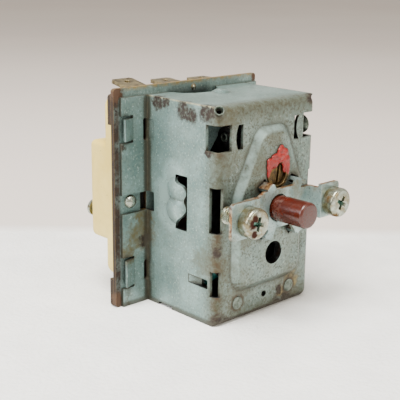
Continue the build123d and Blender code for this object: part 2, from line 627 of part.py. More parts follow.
with BuildPart() as rocker_axle:
    with BuildSketch(side_plane(AXLE_LEFT)):
        with Locations(ROCKER):
            Circle(AXLE_R)
    extrude(amount=AXLE_RIGHT - AXLE_LEFT)
    with BuildSketch(side_plane(AXLE_LEFT)):
        with Locations(ROCKER):
            Circle(AXLE_HOLLOW[0])
    extrude(amount=AXLE_HOLLOW[1], mode=Mode.SUBTRACT)
    with BuildSketch(Plane(origin=(AXLE_RIGHT, *ROCKER), x_dir=(0, 1, 0), z_dir=(0, 0, 1))):
        dome_section(AXLE_HEAD_R, AXLE_HEAD_H)
    revolve(axis=Axis((AXLE_RIGHT, *ROCKER), (1, 0, 0)))
write(rocker_axle, "rocker_axle")

# bracket under the top sheet, whose two legs carry the axle between the lever's lugs
YOKE_X = 7.6
YOKE_Z = BOX_TOP - SHEET - 0.9
YOKE_Y = (9.1, 22.1)
YOKE_EYE_R = 1.7
YOKE_LEG_REAR = 18.0
with BuildPart() as rocker_yoke:
    with BuildSketch(Plane.XY.offset(YOKE_Z)):
        with Locations((0, sum(YOKE_Y) / 2)):
            Rectangle(2 * YOKE_X + LEVER_T, YOKE_Y[1] - YOKE_Y[0])
    extrude(amount=LEVER_T)
    for side in (-1, 1):
        with BuildSketch(side_plane(side * YOKE_X - LEVER_T / 2)):
            with Locations(ROCKER):
                Circle(YOKE_EYE_R)
            Polygon(
                (ROCKER[0] - YOKE_EYE_R + 0.2, ROCKER[1]),
                (ROCKER[0] - YOKE_EYE_R + 0.2, YOKE_Z + LEVER_T),
                (YOKE_LEG_REAR, YOKE_Z + LEVER_T),
                (ROCKER[0] + YOKE_EYE_R - 0.1, ROCKER[1]),
                align=None,
            )
            with Locations(ROCKER):
                Circle(AXLE_R, mode=Mode.SUBTRACT)
        extrude(amount=LEVER_T)
write(rocker_yoke, "rocker_yoke")

with BuildPart() as push_stud:
    with BuildSketch(face_plane(BRIDGE_Y - GAP)):
        with Locations((0, PUSH_Z)):
            Circle(STUD_R)
    extrude(amount=BRIDGE_Y - GAP - LEVER_Y - LEVER_T)
    with BuildSketch(face_plane(LEVER_Y + LEVER_T)):
        with Locations((0, PUSH_Z)):
            Circle(STUD_STEM_R)
    extrude(amount=LEVER_T + STUD_PROUD)
write(push_stud, "push_stud")

# ---- springs -------------------------------------------------------------------------------
WIRE_R = 0.2


def coil(x, z, front, rear, radius, turns):
    """Compression spring lying along Y, with its axis at (x, z)."""
    length = rear - front - 2 * WIRE_R
    with BuildLine() as path:
        Helix(length / turns, length, radius, center=(x, front + WIRE_R, z), direction=(0, 1, 0))
    with BuildSketch(Plane(origin=path.edge() @ 0, z_dir=path.edge() % 0)) as wire:
        Circle(WIRE_R)
    sweep(wire.sketch, path=path.edge())


LEVER_SPRING = (-5.4, 6.6)  # x and z of its axis
LEVER_SPRING_R = 1.9
LEVER_SPRING_TURNS = 9
with BuildPart() as lever_spring:
    coil(*LEVER_SPRING, LEVER_Y + LEVER_T, BASE_FRONT, LEVER_SPRING_R, LEVER_SPRING_TURNS)
write(lever_spring, "lever_spring")

# ---- reset latch ---------------------------------------------------------------------------
LATCH_FACE = 23.2
LATCH_Z = (-2.8, 4.0)
LATCH_HALF_W = 6.0
LATCH_LUG_X = 6.4
LATCH_EYE_R = 1.6
LATCH_AXLE_R = 0.8
NOSE_W = 3.0
NOSE_Z = -4.9
with BuildPart() as reset_latch:
    with BuildSketch(face_plane(LATCH_FACE + LEVER_T)):
        with Locations((0, sum(LATCH_Z) / 2)):
            Rectangle(2 * LATCH_LUG_X + LEVER_T, LATCH_Z[1] - LATCH_Z[0])
        for side in (-1, 1):
            with Locations((side * (LATCH_HALF_W - NOSE_W / 2), (NOSE_Z + LATCH_Z[0]) / 2)):
                Rectangle(NOSE_W, LATCH_Z[0] - NOSE_Z)
    extrude(amount=LEVER_T)
    for side in (-1, 1):
        with BuildSketch(side_plane(side * LATCH_LUG_X - LEVER_T / 2)):
            with Locations(LATCH):
                Circle(LATCH_EYE_R)
            Polygon(
                (LATCH_FACE, LATCH_Z[0]),
                (LATCH_FACE, LATCH_Z[1]),
                (LATCH_FACE + LEVER_T, LATCH_Z[1]),
                (LATCH[0], LATCH[1] + LATCH_EYE_R),
                (LATCH[0], LATCH[1] - LATCH_EYE_R),
                (LATCH_FACE + LEVER_T, LATCH_Z[0]),
                align=None,
            )
            with Locations(LATCH):
                Circle(LATCH_AXLE_R + RUNNING, mode=Mode.SUBTRACT)
        extrude(amount=LEVER_T)
write(reset_latch, "reset_latch")

LATCH_YOKE_X = 7.5
LATCH_YOKE_Z = (-4.7, 2.7)
LATCH_YOKE_EYE_R = 1.7
LATCH_AXLE_END = 1.0        # axle beyond the yoke's legs
with BuildPart() as latch_axle:
    with BuildSketch(side_plane(-LATCH_YOKE_X - LATCH_AXLE_END)):
        with Locations(LATCH):
            Circle(LATCH_AXLE_R)
    extrude(amount=2 * (LATCH_YOKE_X + LATCH_AXLE_END))
write(latch_axle, "latch_axle")

with BuildPart() as latch_yoke:
    with BuildSketch(face_plane(BASE_FRONT)):
        with Locations((0, sum(LATCH_YOKE_Z) / 2)):
            Rectangle(2 * LATCH_YOKE_X + LEVER_T, LATCH_YOKE_Z[1] - LATCH_YOKE_Z[0])
    extrude(amount=LEVER_T)
    for side in (-1, 1):
        with BuildSketch(side_plane(side * LATCH_YOKE_X - LEVER_T / 2)):
            with Locations(LATCH):
                Circle(LATCH_YOKE_EYE_R)
            with Locations(((LATCH[0] + BASE_FRONT) / 2, LATCH[1])):
                Rectangle(BASE_FRONT - LATCH[0], 2 * LATCH_YOKE_EYE_R)
            with Locations(LATCH):
                Circle(LATCH_AXLE_R, mode=Mode.SUBTRACT)
        extrude(amount=LEVER_T)
write(latch_yoke, "latch_yoke")

# ---- diaphragm -----------------------------------------------------------------------------
CAPSULE_R = 7.5
CAPSULE_T = 2.6
CAPSULE_EDGE = 0.6          # chamfer round each rim
CAPSULE_Y = (11.0, 11.0 + CAPSULE_T)
RIPPLES = [6.2, 5.8, 5.0, 4.2, 3.4]         # radii of the crests and troughs pressed into its rear face
RIPPLE_DEPTH = 0.5
SEAT_R = CAPSULE_R - 0.8
FOOT_PLATE = (0.4, -22.3, 24.0, 4.4)        # x, z, width and height
TAB_W = 9.0
TAB_Z = (-20.9, -13.9)
WEB = [(INNER_FRONT, -21.6), (INNER_FRONT, -20.4), (INNER_FRONT + SHEET, -20.4), (CAPSULE_Y[0], -20.2)]
WEB += [(CAPSULE_Y[0], TAB_Z[0]), (CAPSULE_Y[0] - SHEET, TAB_Z[0])]
DISC_R = 2.8
DISC_T = 1.0
DISC_STEM_R = 1.2
TUBE_START = (-CAPSULE_R + 0.8, 12.3, DIAPHRAGM_Z - 1.6)
TUBE_END = (-12.2, 15.7, -18.3)
TUBE_PAST_SLEEVE = 0.4
TUBE_R = 0.6
SLEEVE_R = 1.15
SLEEVE_SHARE = 0.45         # of the stub's length
with BuildPart() as diaphragm_bracket:
    with BuildSketch(face_plane(INNER_FRONT + SHEET)):
        with Locations(FOOT_PLATE[:2]):
            Rectangle(*FOOT_PLATE[2:])
        with Locations(*FRONT_RIVETS):
            Circle(RIVET_R, mode=Mode.SUBTRACT)
        with Locations(SMALL_HOLE):
            Circle(SMALL_HOLE_R, mode=Mode.SUBTRACT)
    extrude(amount=SHEET)
    with BuildSketch(face_plane(CAPSULE_Y[0])):
        with Locations((0, DIAPHRAGM_Z)):
            Circle(SEAT_R)
        with Locations((0, sum(TAB_Z) / 2)):
            Rectangle(TAB_W, TAB_Z[1] - TAB_Z[0])
    extrude(amount=SHEET)
    with BuildSketch(Plane.YZ.offset(-TAB_W / 2)):
        Polygon(*WEB, align=None)
    extrude(amount=TAB_W)
write(diaphragm_bracket, "diaphragm_bracket")

with BuildPart() as diaphragm_capsule:
    ripple = [(radius, CAPSULE_T - RIPPLE_DEPTH * (place % 2)) for place, radius in enumerate(RIPPLES)]
    with BuildSketch(Plane(origin=(0, CAPSULE_Y[0], DIAPHRAGM_Z), x_dir=(1, 0, 0), z_dir=(0, 0, 1))):
        with BuildLine():
            Polyline(
                (0, 0),
                (CAPSULE_R - CAPSULE_EDGE, 0),
                (CAPSULE_R, CAPSULE_EDGE),
                (CAPSULE_R, CAPSULE_T - CAPSULE_EDGE),
                (CAPSULE_R - CAPSULE_EDGE, CAPSULE_T),
                *ripple,
                (0, CAPSULE_T),
                (0, 0),
            )
        make_face()
    revolve(axis=Axis((0, CAPSULE_Y[0], DIAPHRAGM_Z), (0, 1, 0)))
write(diaphragm_capsule, "diaphragm_capsule")

with BuildPart() as thrust_disc:
    with BuildSketch(face_plane(CAPSULE_Y[1] + GAP + DISC_T)):
        with Locations((0, DIAPHRAGM_Z)):
            Circle(DISC_R)
    extrude(amount=DISC_T)
    with BuildSketch(face_plane(LEVER_Y - GAP)):
        with Locations((0, DIAPHRAGM_Z)):
            Circle(DISC_STEM_R)
    extrude(amount=LEVER_Y - GAP - CAPSULE_Y[1] - GAP)
write(thrust_disc, "thrust_disc")

start, end = Vector(*TUBE_START), Vector(*TUBE_END)
tube_plane = Plane(origin=start, z_dir=end - start)
sleeve_plane = Plane(origin=start + (end - start) * (1 - SLEEVE_SHARE), z_dir=end - start)
with BuildPart() as capillary_inlet:
    with BuildSketch(tube_plane):
        Circle(TUBE_R)
    extrude(amount=(end - start).length + TUBE_PAST_SLEEVE)
    with BuildSketch(Plane(origin=(0, CAPSULE_Y[0], DIAPHRAGM_Z), x_dir=(1, 0, 0), z_dir=(0, 0, 1))):
        Polygon((0, 0), (CAPSULE_R, 0), (CAPSULE_R, CAPSULE_T), (0, CAPSULE_T), align=None)
    revolve(axis=Axis((0, CAPSULE_Y[0], DIAPHRAGM_Z), (0, 1, 0)), mode=Mode.SUBTRACT)
write(capillary_inlet, "capillary_inlet")

with BuildPart() as capillary_sleeve:
    with BuildSketch(sleeve_plane):
        Circle(SLEEVE_R)
        Circle(TUBE_R, mode=Mode.SUBTRACT)
    extrude(amount=(end - start).length * SLEEVE_SHARE)
write(capillary_sleeve, "capillary_sleeve")

RIVET_PROUD = 0.12
RIVET_HEAD = (2.1, 0.6)     # radius and height, inside the box
with BuildPart() as front_rivets:
    for x, z in FRONT_RIVETS:
        with BuildSketch(face_plane(INNER_FRONT + SHEET)):
            with Locations((x, z)):
                Circle(RIVET_R)
        extrude(amount=2 * SHEET + RIVET_PROUD)
        with BuildSketch(face_plane(INNER_FRONT + SHEET + RIVET_HEAD[1])):
            with Locations((x, z)):
                Circle(RIVET_HEAD[0])
        extrude(amount=RIVET_HEAD[1])
write(front_rivets, "front_rivets")

# ---- calibration screw and its seal --------------------------------------------------------
CALIBRATION_FACE = FACE + 0.3
CALIBRATION_HEAD_R = 2.6
CALIBRATION_SHANK_R = 1.9
CALIBRATION_STEP = 10.2
CALIBRATION_TIP = 14.6
CALIBRATION_TIP_R = 0.9
CALIBRATION_EDGE = 0.4
CALIBRATION_SLOT = (0.8, 7.0, 1.3, -8)      # width, length, depth and turn
SLOT_SHIFT = 0.4            # the slot is off the screw's centre
COLLAR_SEAT = (FACE - 0.35, INNER_FRONT + 1.4)      # front and rear faces of the collar
with BuildPart() as calibration_screw:
    with BuildSketch(Plane(origin=(CALIBRATION[0], 0, CALIBRATION[1]), x_dir=(1, 0, 0), z_dir=(0, 0, 1))):
        with BuildLine():
            Polyline(
                (0, CALIBRATION_FACE),
                (CALIBRATION_HEAD_R - CALIBRATION_EDGE, CALIBRATION_FACE),
                (CALIBRATION_HEAD_R, CALIBRATION_FACE + CALIBRATION_EDGE),
                (CALIBRATION_HEAD_R, CALIBRATION_STEP),
                (CALIBRATION_SHANK_R, CALIBRATION_STEP),
                (CALIBRATION_SHANK_R, CALIBRATION_TIP),
                (CALIBRATION_TIP_R, LEVER_Y - GAP),
                (0, LEVER_Y - GAP),
                (0, CALIBRATION_FACE),
            )
        make_face()
    revolve(axis=Axis((CALIBRATION[0], 0, CALIBRATION[1]), (0, 1, 0)))
    width, length, depth, turn = CALIBRATION_SLOT
    with BuildSketch(face_plane(CALIBRATION_FACE + depth)):
        with Locations((CALIBRATION[0] + SLOT_SHIFT, CALIBRATION[1])):
            Rectangle(width, length, rotation=turn)
    extrude(amount=THROUGH, mode=Mode.SUBTRACT)
write(calibration_screw, "calibration_screw")

# the screw's threaded collar, flanged into the front sheet
with BuildPart() as calibration_collar:
    with BuildSketch(face_plane(COLLAR_SEAT[1])):
        with Locations(CALIBRATION):
            Circle(CALIBRATION_R)
            Circle(CALIBRATION_HEAD_R, mode=Mode.SUBTRACT)
    extrude(amount=COLLAR_SEAT[1] - COLLAR_SEAT[0])
write(calibration_collar, "calibration_collar")

SEAL = [(-1.3, 6.4), (-1.6, 9.9), (-0.9, 11.1), (1.2, 11.5), (1.7, 13.1), (3.1, 13.6)]
SEAL += [(5.6, 12.0), (6.1, 9.6), (6.0, 6.2)]
SEAL_CORNER_R = 0.6
SEAL_T = 0.35
with BuildPart() as sealing_lacquer:
    with BuildSketch(face_plane(FACE)):
        with BuildLine():
            FilletPolyline(*SEAL, radius=SEAL_CORNER_R, close=True)
        make_face()
        with Locations(CALIBRATION):
            Circle(CALIBRATION_R, mode=Mode.SUBTRACT)
    extrude(amount=SEAL_T)
write(sealing_lacquer, "sealing_lacquer")

# ---- mounting bracket and panel screws -----------------------------------------------------
BRACKET_T = 0.9
BRACKET_REAR = 4.6                           # rear face of the bracket's middle plate
BRACKET_FRONT = BRACKET_REAR - BRACKET_T
BRACKET_HOLE_R = 3.2
HOOK_REAR = INNER_FRONT + 0.5
EARS = [(-1, 18.8, -3.4, 4.8), (1, 16.7, -3.65, 4.4)]    # side, reach, low, high
ARM_Z = (-2.7, 3.5)
LEG_X = 11.2
MIDDLE = [(-6.4, -4.6), (7.2, -4.6), (7.6, 3.5), (6.2, 4.4), (-4.6, 4.4), (-6.4, 3.5)]
MIDDLE_X = 1.2                               # the hooks stand round this point
TAB_SPAN = 0.5                               # length of each hook's tab, as a share of its height
SCREWS = [(-13.8, 0.3), (-13.8 + SCREW_SPACING, -0.1)]
SCREW_R = 1.95
with BuildPart() as mounting_bracket:
    with BuildSketch(face_plane(BRACKET_REAR)):
        Polygon(*MIDDLE, align=None)
        with Locations((0, sum(ARM_Z) / 2)):
            Rectangle(2 * LEG_X, ARM_Z[1] - ARM_Z[0])
        for x, z, turn in HOOKS:
            with Locations((MIDDLE_X + (x - MIDDLE_X) * (1 - TAB_SPAN / 2), z * (1 - TAB_SPAN / 2))):
                Rectangle(HOOK[0], abs(z) * TAB_SPAN + HOOK[1], rotation=turn)
    extrude(amount=BRACKET_T)
    # hooks that reach back through the front face
    with BuildSketch(face_plane(HOOK_REAR)):
        for x, z, turn in HOOKS:
            with Locations((x, z)):
                Rectangle(HOOK[0], HOOK[1], rotation=turn)
    extrude(amount=HOOK_REAR - BRACKET_FRONT)
    # legs that step forward, and the ears
    for side, reach, low, high in EARS:
        with BuildSketch(Plane.XY.offset(ARM_Z[0])):
            with Locations((side * (LEG_X - BRACKET_T / 2), BRACKET_REAR / 2)):
                Rectangle(BRACKET_T, BRACKET_REAR)
        extrude(amount=ARM_Z[1] - ARM_Z[0])
        with BuildSketch(face_plane(BRACKET_T)) as ear:
            with Locations((side * (LEG_X - BRACKET_T + reach) / 2, (low + high) / 2)):
                Rectangle(reach - LEG_X + BRACKET_T, high - low)
            fillet(ear.vertices().group_by(Axis.X)[0 if side < 0 else -1], BRACKET_T)
        extrude(amount=BRACKET_T)
    with BuildSketch(face_plane(BRACKET_REAR + 1)):
        Circle(BRACKET_HOLE_R)
    extrude(amount=THROUGH, mode=Mode.SUBTRACT)
    with BuildSketch(face_plane(BRACKET_T + 1)):
        with Locations(*SCREWS):
            Circle(SCREW_R)
    extrude(amount=THROUGH, mode=Mode.SUBTRACT)
    bends = [e for e in mounting_bracket.edges().filter_by(Axis.Z) if abs(abs(e.center().X) - LEG_X) < 0.01]
    fillet([e for e in bends if e.center().Y > BRACKET_T], BRACKET_T)
write(mounting_bracket, "mounting_bracket")

HEAD_H = 3.1
SCREW_HEAD_R = 3.45
HEAD_FLAT_R = 2.7
HEAD_EDGE = 0.9
HEAD_BULGE = (0.52, 0.27)   # a point on the rounded edge, out from the flat and back from the front
SCREW_L = 7.2
SCREW_TIP = (1.4, 1.4)      # radius and length of the point
HEAD_LIFT = 0.01            # keeps each head's seat clear of the ear by a hair
THREAD_PITCH = 0.7
THREAD_DEPTH = 0.38
THREAD_FRONT = BRACKET_T + 0.1
RECESS = (4.4, 0.85, 1.6)   # width across the cross recess, width of each arm, depth
RECESS_TURN = 12
with BuildPart() as panel_screws:
    for x, z in SCREWS:
        turns = int((SCREW_L - SCREW_TIP[1]) / THREAD_PITCH)
        thread = [(SCREW_R, THREAD_FRONT)]
        for turn in range(turns):
            crest = THREAD_FRONT + turn * THREAD_PITCH
            thread.append((SCREW_R - THREAD_DEPTH, crest + THREAD_PITCH / 2))
            thread.append((SCREW_R, crest + THREAD_PITCH))
        with BuildSketch(Plane(origin=(x, 0, z), x_dir=(1, 0, 0), z_dir=(0, 0, 1))):
            with BuildLine():
                Polyline((0, -HEAD_H), (HEAD_FLAT_R, -HEAD_H))
                ThreePointArc(
                    (HEAD_FLAT_R, -HEAD_H),
                    (HEAD_FLAT_R + HEAD_BULGE[0], -HEAD_H + HEAD_BULGE[1]),
                    (SCREW_HEAD_R, -HEAD_H + HEAD_EDGE),
                )
                Polyline(
                    (SCREW_HEAD_R, -HEAD_H + HEAD_EDGE),
                    (SCREW_HEAD_R, -HEAD_LIFT),
                    (SCREW_R, -HEAD_LIFT),
                    *thread,
                )
                Polyline(thread[-1], (SCREW_TIP[0], SCREW_L), (0, SCREW_L), (0, -HEAD_H))
            make_face()
        revolve(axis=Axis((x, 0, z), (0, 1, 0)))
        with BuildSketch(face_plane(-HEAD_H + RECESS[2])):
            with Locations((x, z)):
                Rectangle(RECESS[0], RECESS[1], rotation=RECESS_TURN)
                Rectangle(RECESS[0], RECESS[1], rotation=RECESS_TURN + 90)
        extrude(amount=RECESS[2] + 1, mode=Mode.SUBTRACT)
write(panel_screws, "panel_screws")

# ---- reset button --------------------------------------------------------------------------
BUSH_FRONT = FACE - 0.5
BUSH_REAR = INNER_FRONT + 0.6
BARREL_Y = (-4.6, 3.0)      # the button's full-diameter barrel
TIP_R = 2.2
NECK_R = BUTTON_R - 0.25
COLLAR_R = 3.6
COLLAR_Y = (BUSH_REAR + 0.15, BUSH_REAR + 0.95)
SPIGOT_R = 1.8
BUTTON_REAR = 12.0
ROD_DEPTH = 6.0
GUIDE_Y = 14.9
GUIDE_X = 5.2
GUIDE_T = 0.6
GUIDE_Z = (-2.6, 2.2)
with BuildPart() as button_bush:
    with BuildSketch(face_plane(BUSH_REAR)):
        Circle(BUSH_R)
        Circle(NECK_R + RUNNING, mode=Mode.SUBTRACT)
    extrude(amount=BUSH_REAR - BUSH_FRONT)
write(button_bush, "button_bush")

with BuildPart() as button_guide:
    with BuildSketch(face_plane(GUIDE_Y + GUIDE_T)):
        with Locations((0, sum(GUIDE_Z) / 2)):
            Rectangle(2 * GUIDE_X + GUIDE_T, GUIDE_Z[1] - GUIDE_Z[0])
        Circle(ROD_R + RUNNING, mode=Mode.SUBTRACT)
    extrude(amount=GUIDE_T)
    for side in (-1, 1):
        with BuildSketch(Plane.XY.offset(GUIDE_Z[0])):
            with Locations((side * GUIDE_X, (INNER_FRONT + GUIDE_Y) / 2)):
                Rectangle(GUIDE_T, GUIDE_Y - INNER_FRONT)
        extrude(amount=GUIDE_Z[1] - GUIDE_Z[0])
write(button_guide, "button_guide")

BARREL = [(0, BUTTON_TIP), (TIP_R, BUTTON_TIP), (BUTTON_R, BARREL_Y[0]), (BUTTON_R, BARREL_Y[1])]
NECK = [(NECK_R, BARREL_Y[1] + 0.1), (NECK_R, COLLAR_Y[0]), (COLLAR_R, COLLAR_Y[0])]
TAIL = [(COLLAR_R, COLLAR_Y[1]), (SPIGOT_R, COLLAR_Y[1]), (SPIGOT_R, BUTTON_REAR), (ROD_R, BUTTON_REAR)]
SOCKET = [(ROD_R, BUTTON_REAR - ROD_DEPTH), (0, BUTTON_REAR - ROD_DEPTH)]
with BuildPart() as reset_button:
    with BuildSketch(Plane.XY):
        Polygon(*BARREL, *NECK, *TAIL, *SOCKET, align=None)
    revolve(axis=Axis.Y)
write(reset_button, "reset_button")

ROD_CHAMFER = 0.2
LATCH_DROP = 0.8            # how far the tripped latch comes forward at the rod's height
ROD_END = LATCH_FACE - LATCH_DROP - GAP - BUTTON_TRAVEL
with BuildPart() as reset_rod:
    with BuildSketch(face_plane(ROD_END)):
        Circle(ROD_R)
    extrude(amount=ROD_END - BUTTON_REAR + ROD_DEPTH)
    chamfer(reset_rod.edges().sort_by(Axis.Y)[-1], ROD_CHAMFER)
write(reset_rod, "reset_rod")

BUTTON_SPRING_R = 2.4
BUTTON_SPRING_TURNS = 3
with BuildPart() as button_spring:
    coil(0, 0, COLLAR_Y[1], GUIDE_Y, BUTTON_SPRING_R, BUTTON_SPRING_TURNS)
write(button_spring, "button_spring")
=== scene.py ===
import json
import math

import bpy
from mathutils import Matrix, Vector


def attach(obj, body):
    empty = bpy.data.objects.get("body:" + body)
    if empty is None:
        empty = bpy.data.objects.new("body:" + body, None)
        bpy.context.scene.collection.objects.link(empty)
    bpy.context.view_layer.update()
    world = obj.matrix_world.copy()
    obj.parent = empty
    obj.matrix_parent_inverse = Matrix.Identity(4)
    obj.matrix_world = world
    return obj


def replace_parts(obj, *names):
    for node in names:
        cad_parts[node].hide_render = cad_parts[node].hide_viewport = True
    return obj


# Panel-mounted over-temperature limiter: an aged, zinc-plated steel box with a red-brown reset
# button in front and a cream ceramic switch block behind. All places are millimetres from the
# button's axis in the plane of the mounting ears; -Y is towards the user and +Z is up.

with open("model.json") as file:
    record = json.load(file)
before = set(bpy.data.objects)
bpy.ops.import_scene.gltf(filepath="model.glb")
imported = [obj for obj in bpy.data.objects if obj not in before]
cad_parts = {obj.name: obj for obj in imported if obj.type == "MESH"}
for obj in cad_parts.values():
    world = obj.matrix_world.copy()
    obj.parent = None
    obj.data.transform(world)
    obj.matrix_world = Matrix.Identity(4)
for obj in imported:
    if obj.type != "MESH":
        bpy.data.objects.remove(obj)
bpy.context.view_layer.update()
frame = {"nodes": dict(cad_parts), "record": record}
bpy.ops.object.select_all(action="DESELECT")

MM = 0.001
FLOOR_Z = -26.6
BOX_LEFT = -15.4
BOX_RIGHT = 16.5
BOX_TOP = 23.9
PANEL_FACE = 6.5            # front of the raised panel


# ---- material tools ------------------------------------------------------------------------

def srgb(code):
    """Turns an sRGB hex value into the linear colour that a shader takes."""
    linear = []
    for start in (0, 2, 4):
        value = int(code[start:start + 2], 16) / 255
        linear.append(value / 12.92 if value <= 0.04045 else ((value + 0.055) / 1.055) ** 2.4)
    return (*linear, 1.0)


def add(material, kind, inputs=None, **settings):
    """Adds a node, with its settings, and with each input set to a value or linked to an output."""
    tree = material.node_tree
    node = tree.nodes.new(kind)
    for name, value in settings.items():
        setattr(node, name, value)
    for name, value in (inputs or {}).items():
        if isinstance(value, bpy.types.NodeSocket):
            tree.links.new(value, node.inputs[name])
        else:
            node.inputs[name].default_value = value
    return node


def finish(name):
    """A new material with nothing in it yet, and the place on the piece in metres."""
    material = bpy.data.materials.new(name)
    material.use_nodes = True
    material.node_tree.nodes.clear()
    place = add(material, "ShaderNodeTexCoord").outputs["Object"]
    return material, place


def cloud(material, place, size, low, high, detail=3.0):
    """Uneven patches about size mm across: 0 where the noise is below low, 1 where it is above high."""
    noise = add(material, "ShaderNodeTexNoise",
                {"Vector": place, "Scale": 1 / (size * MM), "Detail": detail, "Roughness": 0.6})
    return add(material, "ShaderNodeMapRange",
               {"Value": noise.outputs[0], "From Min": low, "From Max": high}).outputs[0]


def band(material, place, axis, start, end):
    """Rises from 0 at start to 1 at end, both in mm along an axis."""
    split = add(material, "ShaderNodeSeparateXYZ", {0: place})
    return add(material, "ShaderNodeMapRange",
               {"Value": split.outputs[axis], "From Min": start * MM, "From Max": end * MM}).outputs[0]


def both(material, *masks):
    """1 only where every mask is 1."""
    total = masks[0]
    for mask in masks[1:]:
        total = add(material, "ShaderNodeMath", {0: total, 1: mask}, operation="MULTIPLY").outputs[0]
    return total


def most(material, *masks):
    """The largest of the masks at each place."""
    total = masks[0]
    for mask in masks[1:]:
        total = add(material, "ShaderNodeMath", {0: total, 1: mask}, operation="MAXIMUM").outputs[0]
    return total


def tint(material, under, over, mask):
    """One colour laid over another where the mask is 1."""
    return add(material, "ShaderNodeMix", {0: mask, 6: under, 7: over}, data_type="RGBA").outputs[2]


def level(material, under, over, mask):
    """One number in place of another where the mask is 1."""
    return add(material, "ShaderNodeMix", {0: mask, 2: under, 3: over}).outputs[0]


def blots(material, place, spots, ragged):
    """Stains, each (centre, reach in mm), with edges broken up by noise ragged mm deep."""
    noise = add(material, "ShaderNodeTexNoise",
                {"Vector": place, "Scale": 1 / (1.3 * MM), "Detail": 5.0, "Roughness": 0.7})
    shift = add(material, "ShaderNodeMapRange",
                {"Value": noise.outputs[0], "From Min": 0.3, "From Max": 0.7,
                 "To Min": -ragged * MM, "To Max": ragged * MM}).outputs[0]
    total = None
    for centre, reach in spots:
        away = add(material, "ShaderNodeVectorMath",
                   {0: place, 1: Vector(centre) * MM}, operation="DISTANCE").outputs["Value"]
        edge = add(material, "ShaderNodeMath", {0: away, 1: shift}, operation="ADD").outputs[0]
        spot = add(material, "ShaderNodeMapRange",
                   {"Value": edge, "From Min": 0.55 * reach * MM, "From Max": reach * MM,
                    "To Min": 1.0, "To Max": 0.0}).outputs[0]
        total = spot if total is None else most(material, total, spot)
    return total


def near_line(material, place, start, end, reach):
    """1 along the line between two places in mm, falling to 0 at reach mm from it."""
    begin = Vector(start) * MM
    along = Vector(end) * MM - begin
    offset = add(material, "ShaderNodeVectorMath", {0: place, 1: begin}, operation="SUBTRACT").outputs[0]
    travel = add(material, "ShaderNodeVectorMath",
                 {0: offset, 1: along / along.length_squared}, operation="DOT_PRODUCT").outputs["Value"]
    held = add(material, "ShaderNodeClamp", {0: travel}).outputs[0]
    foot = add(material, "ShaderNodeVectorMath", {0: along, "Scale": held}, operation="SCALE").outputs[0]
    away = add(material, "ShaderNodeVectorMath", {0: offset, 1: foot},
               operation="DISTANCE").outputs["Value"]
    return add(material, "ShaderNodeMapRange",
               {"Value": away, "From Min": 0.0, "From Max": reach * MM, "To Min": 1.0,
                "To Max": 0.0}).outputs[0]


def edge_wear(material, radius):
    """1 near a sharp edge of the piece, with the normal that rounds that edge over radius mm."""
    rounded = add(material, "ShaderNodeBevel", {"Radius": radius * MM}, samples=6).outputs[0]
    flat = add(material, "ShaderNodeNewGeometry").outputs["True Normal"]
    same = add(material, "ShaderNodeVectorMath", {0: rounded, 1: flat},
               operation="DOT_PRODUCT").outputs["Value"]
    mask = add(material, "ShaderNodeMapRange",
               {"Value": same, "From Min": 0.98, "From Max": 0.86, "To Min": 0.0, "To Max": 1.0}).outputs[0]
    return mask, rounded


def coat(material, colour, metallic, roughness, relief=None, depth=0.0, normal=None, **inputs):
    """Closes a material with its shader. depth is the relief's height in mm."""
    shader = {"Base Color": colour, "Metallic": metallic, "Roughness": roughness}
    shader.update({name.replace("_", " "): value for name, value in inputs.items()})
    if relief is not None:
        bump = {"Height": relief, "Distance": depth * MM, "Strength": 1.0}
        if normal is not None:
            bump["Normal"] = normal
        normal = add(material, "ShaderNodeBump", bump).outputs[0]
    if normal is not None:
        shader["Normal"] = normal
    surface = add(material, "ShaderNodeBsdfPrincipled", shader)
    add(material, "ShaderNodeOutputMaterial", {0: surface.outputs[0]})
    return material


# ---- finishes ------------------------------------------------------------------------------

def zinc_skin(material, place, speck_cover):
    """The pale blue-green skin of chromated zinc: mottled, with dense dark specks and white bloom."""
    mottle = cloud(material, place, 8.0, 0.34, 0.66)
    colour = tint(material, srgb("5F7774"), srgb("7E9592"), mottle)
    fine = cloud(material, place, 1.0, 0.36, 0.66, 5.0)
    colour = tint(material, colour, srgb("64736C"), level(material, 0.0, 0.55, fine))
    specks = cloud(material, place, 0.60, 0.50, 0.60, 3.0)
    grouped = cloud(material, place, 3.5, 0.26, 0.52)
    colour = tint(material, colour, srgb("1F1C16"), both(material, specks, grouped, speck_cover))
    bloom = cloud(material, place, 0.55, 0.60, 0.70, 2.0)
    return tint(material, colour, srgb("A9B9B2"), level(material, 0.0, 0.6, bloom))


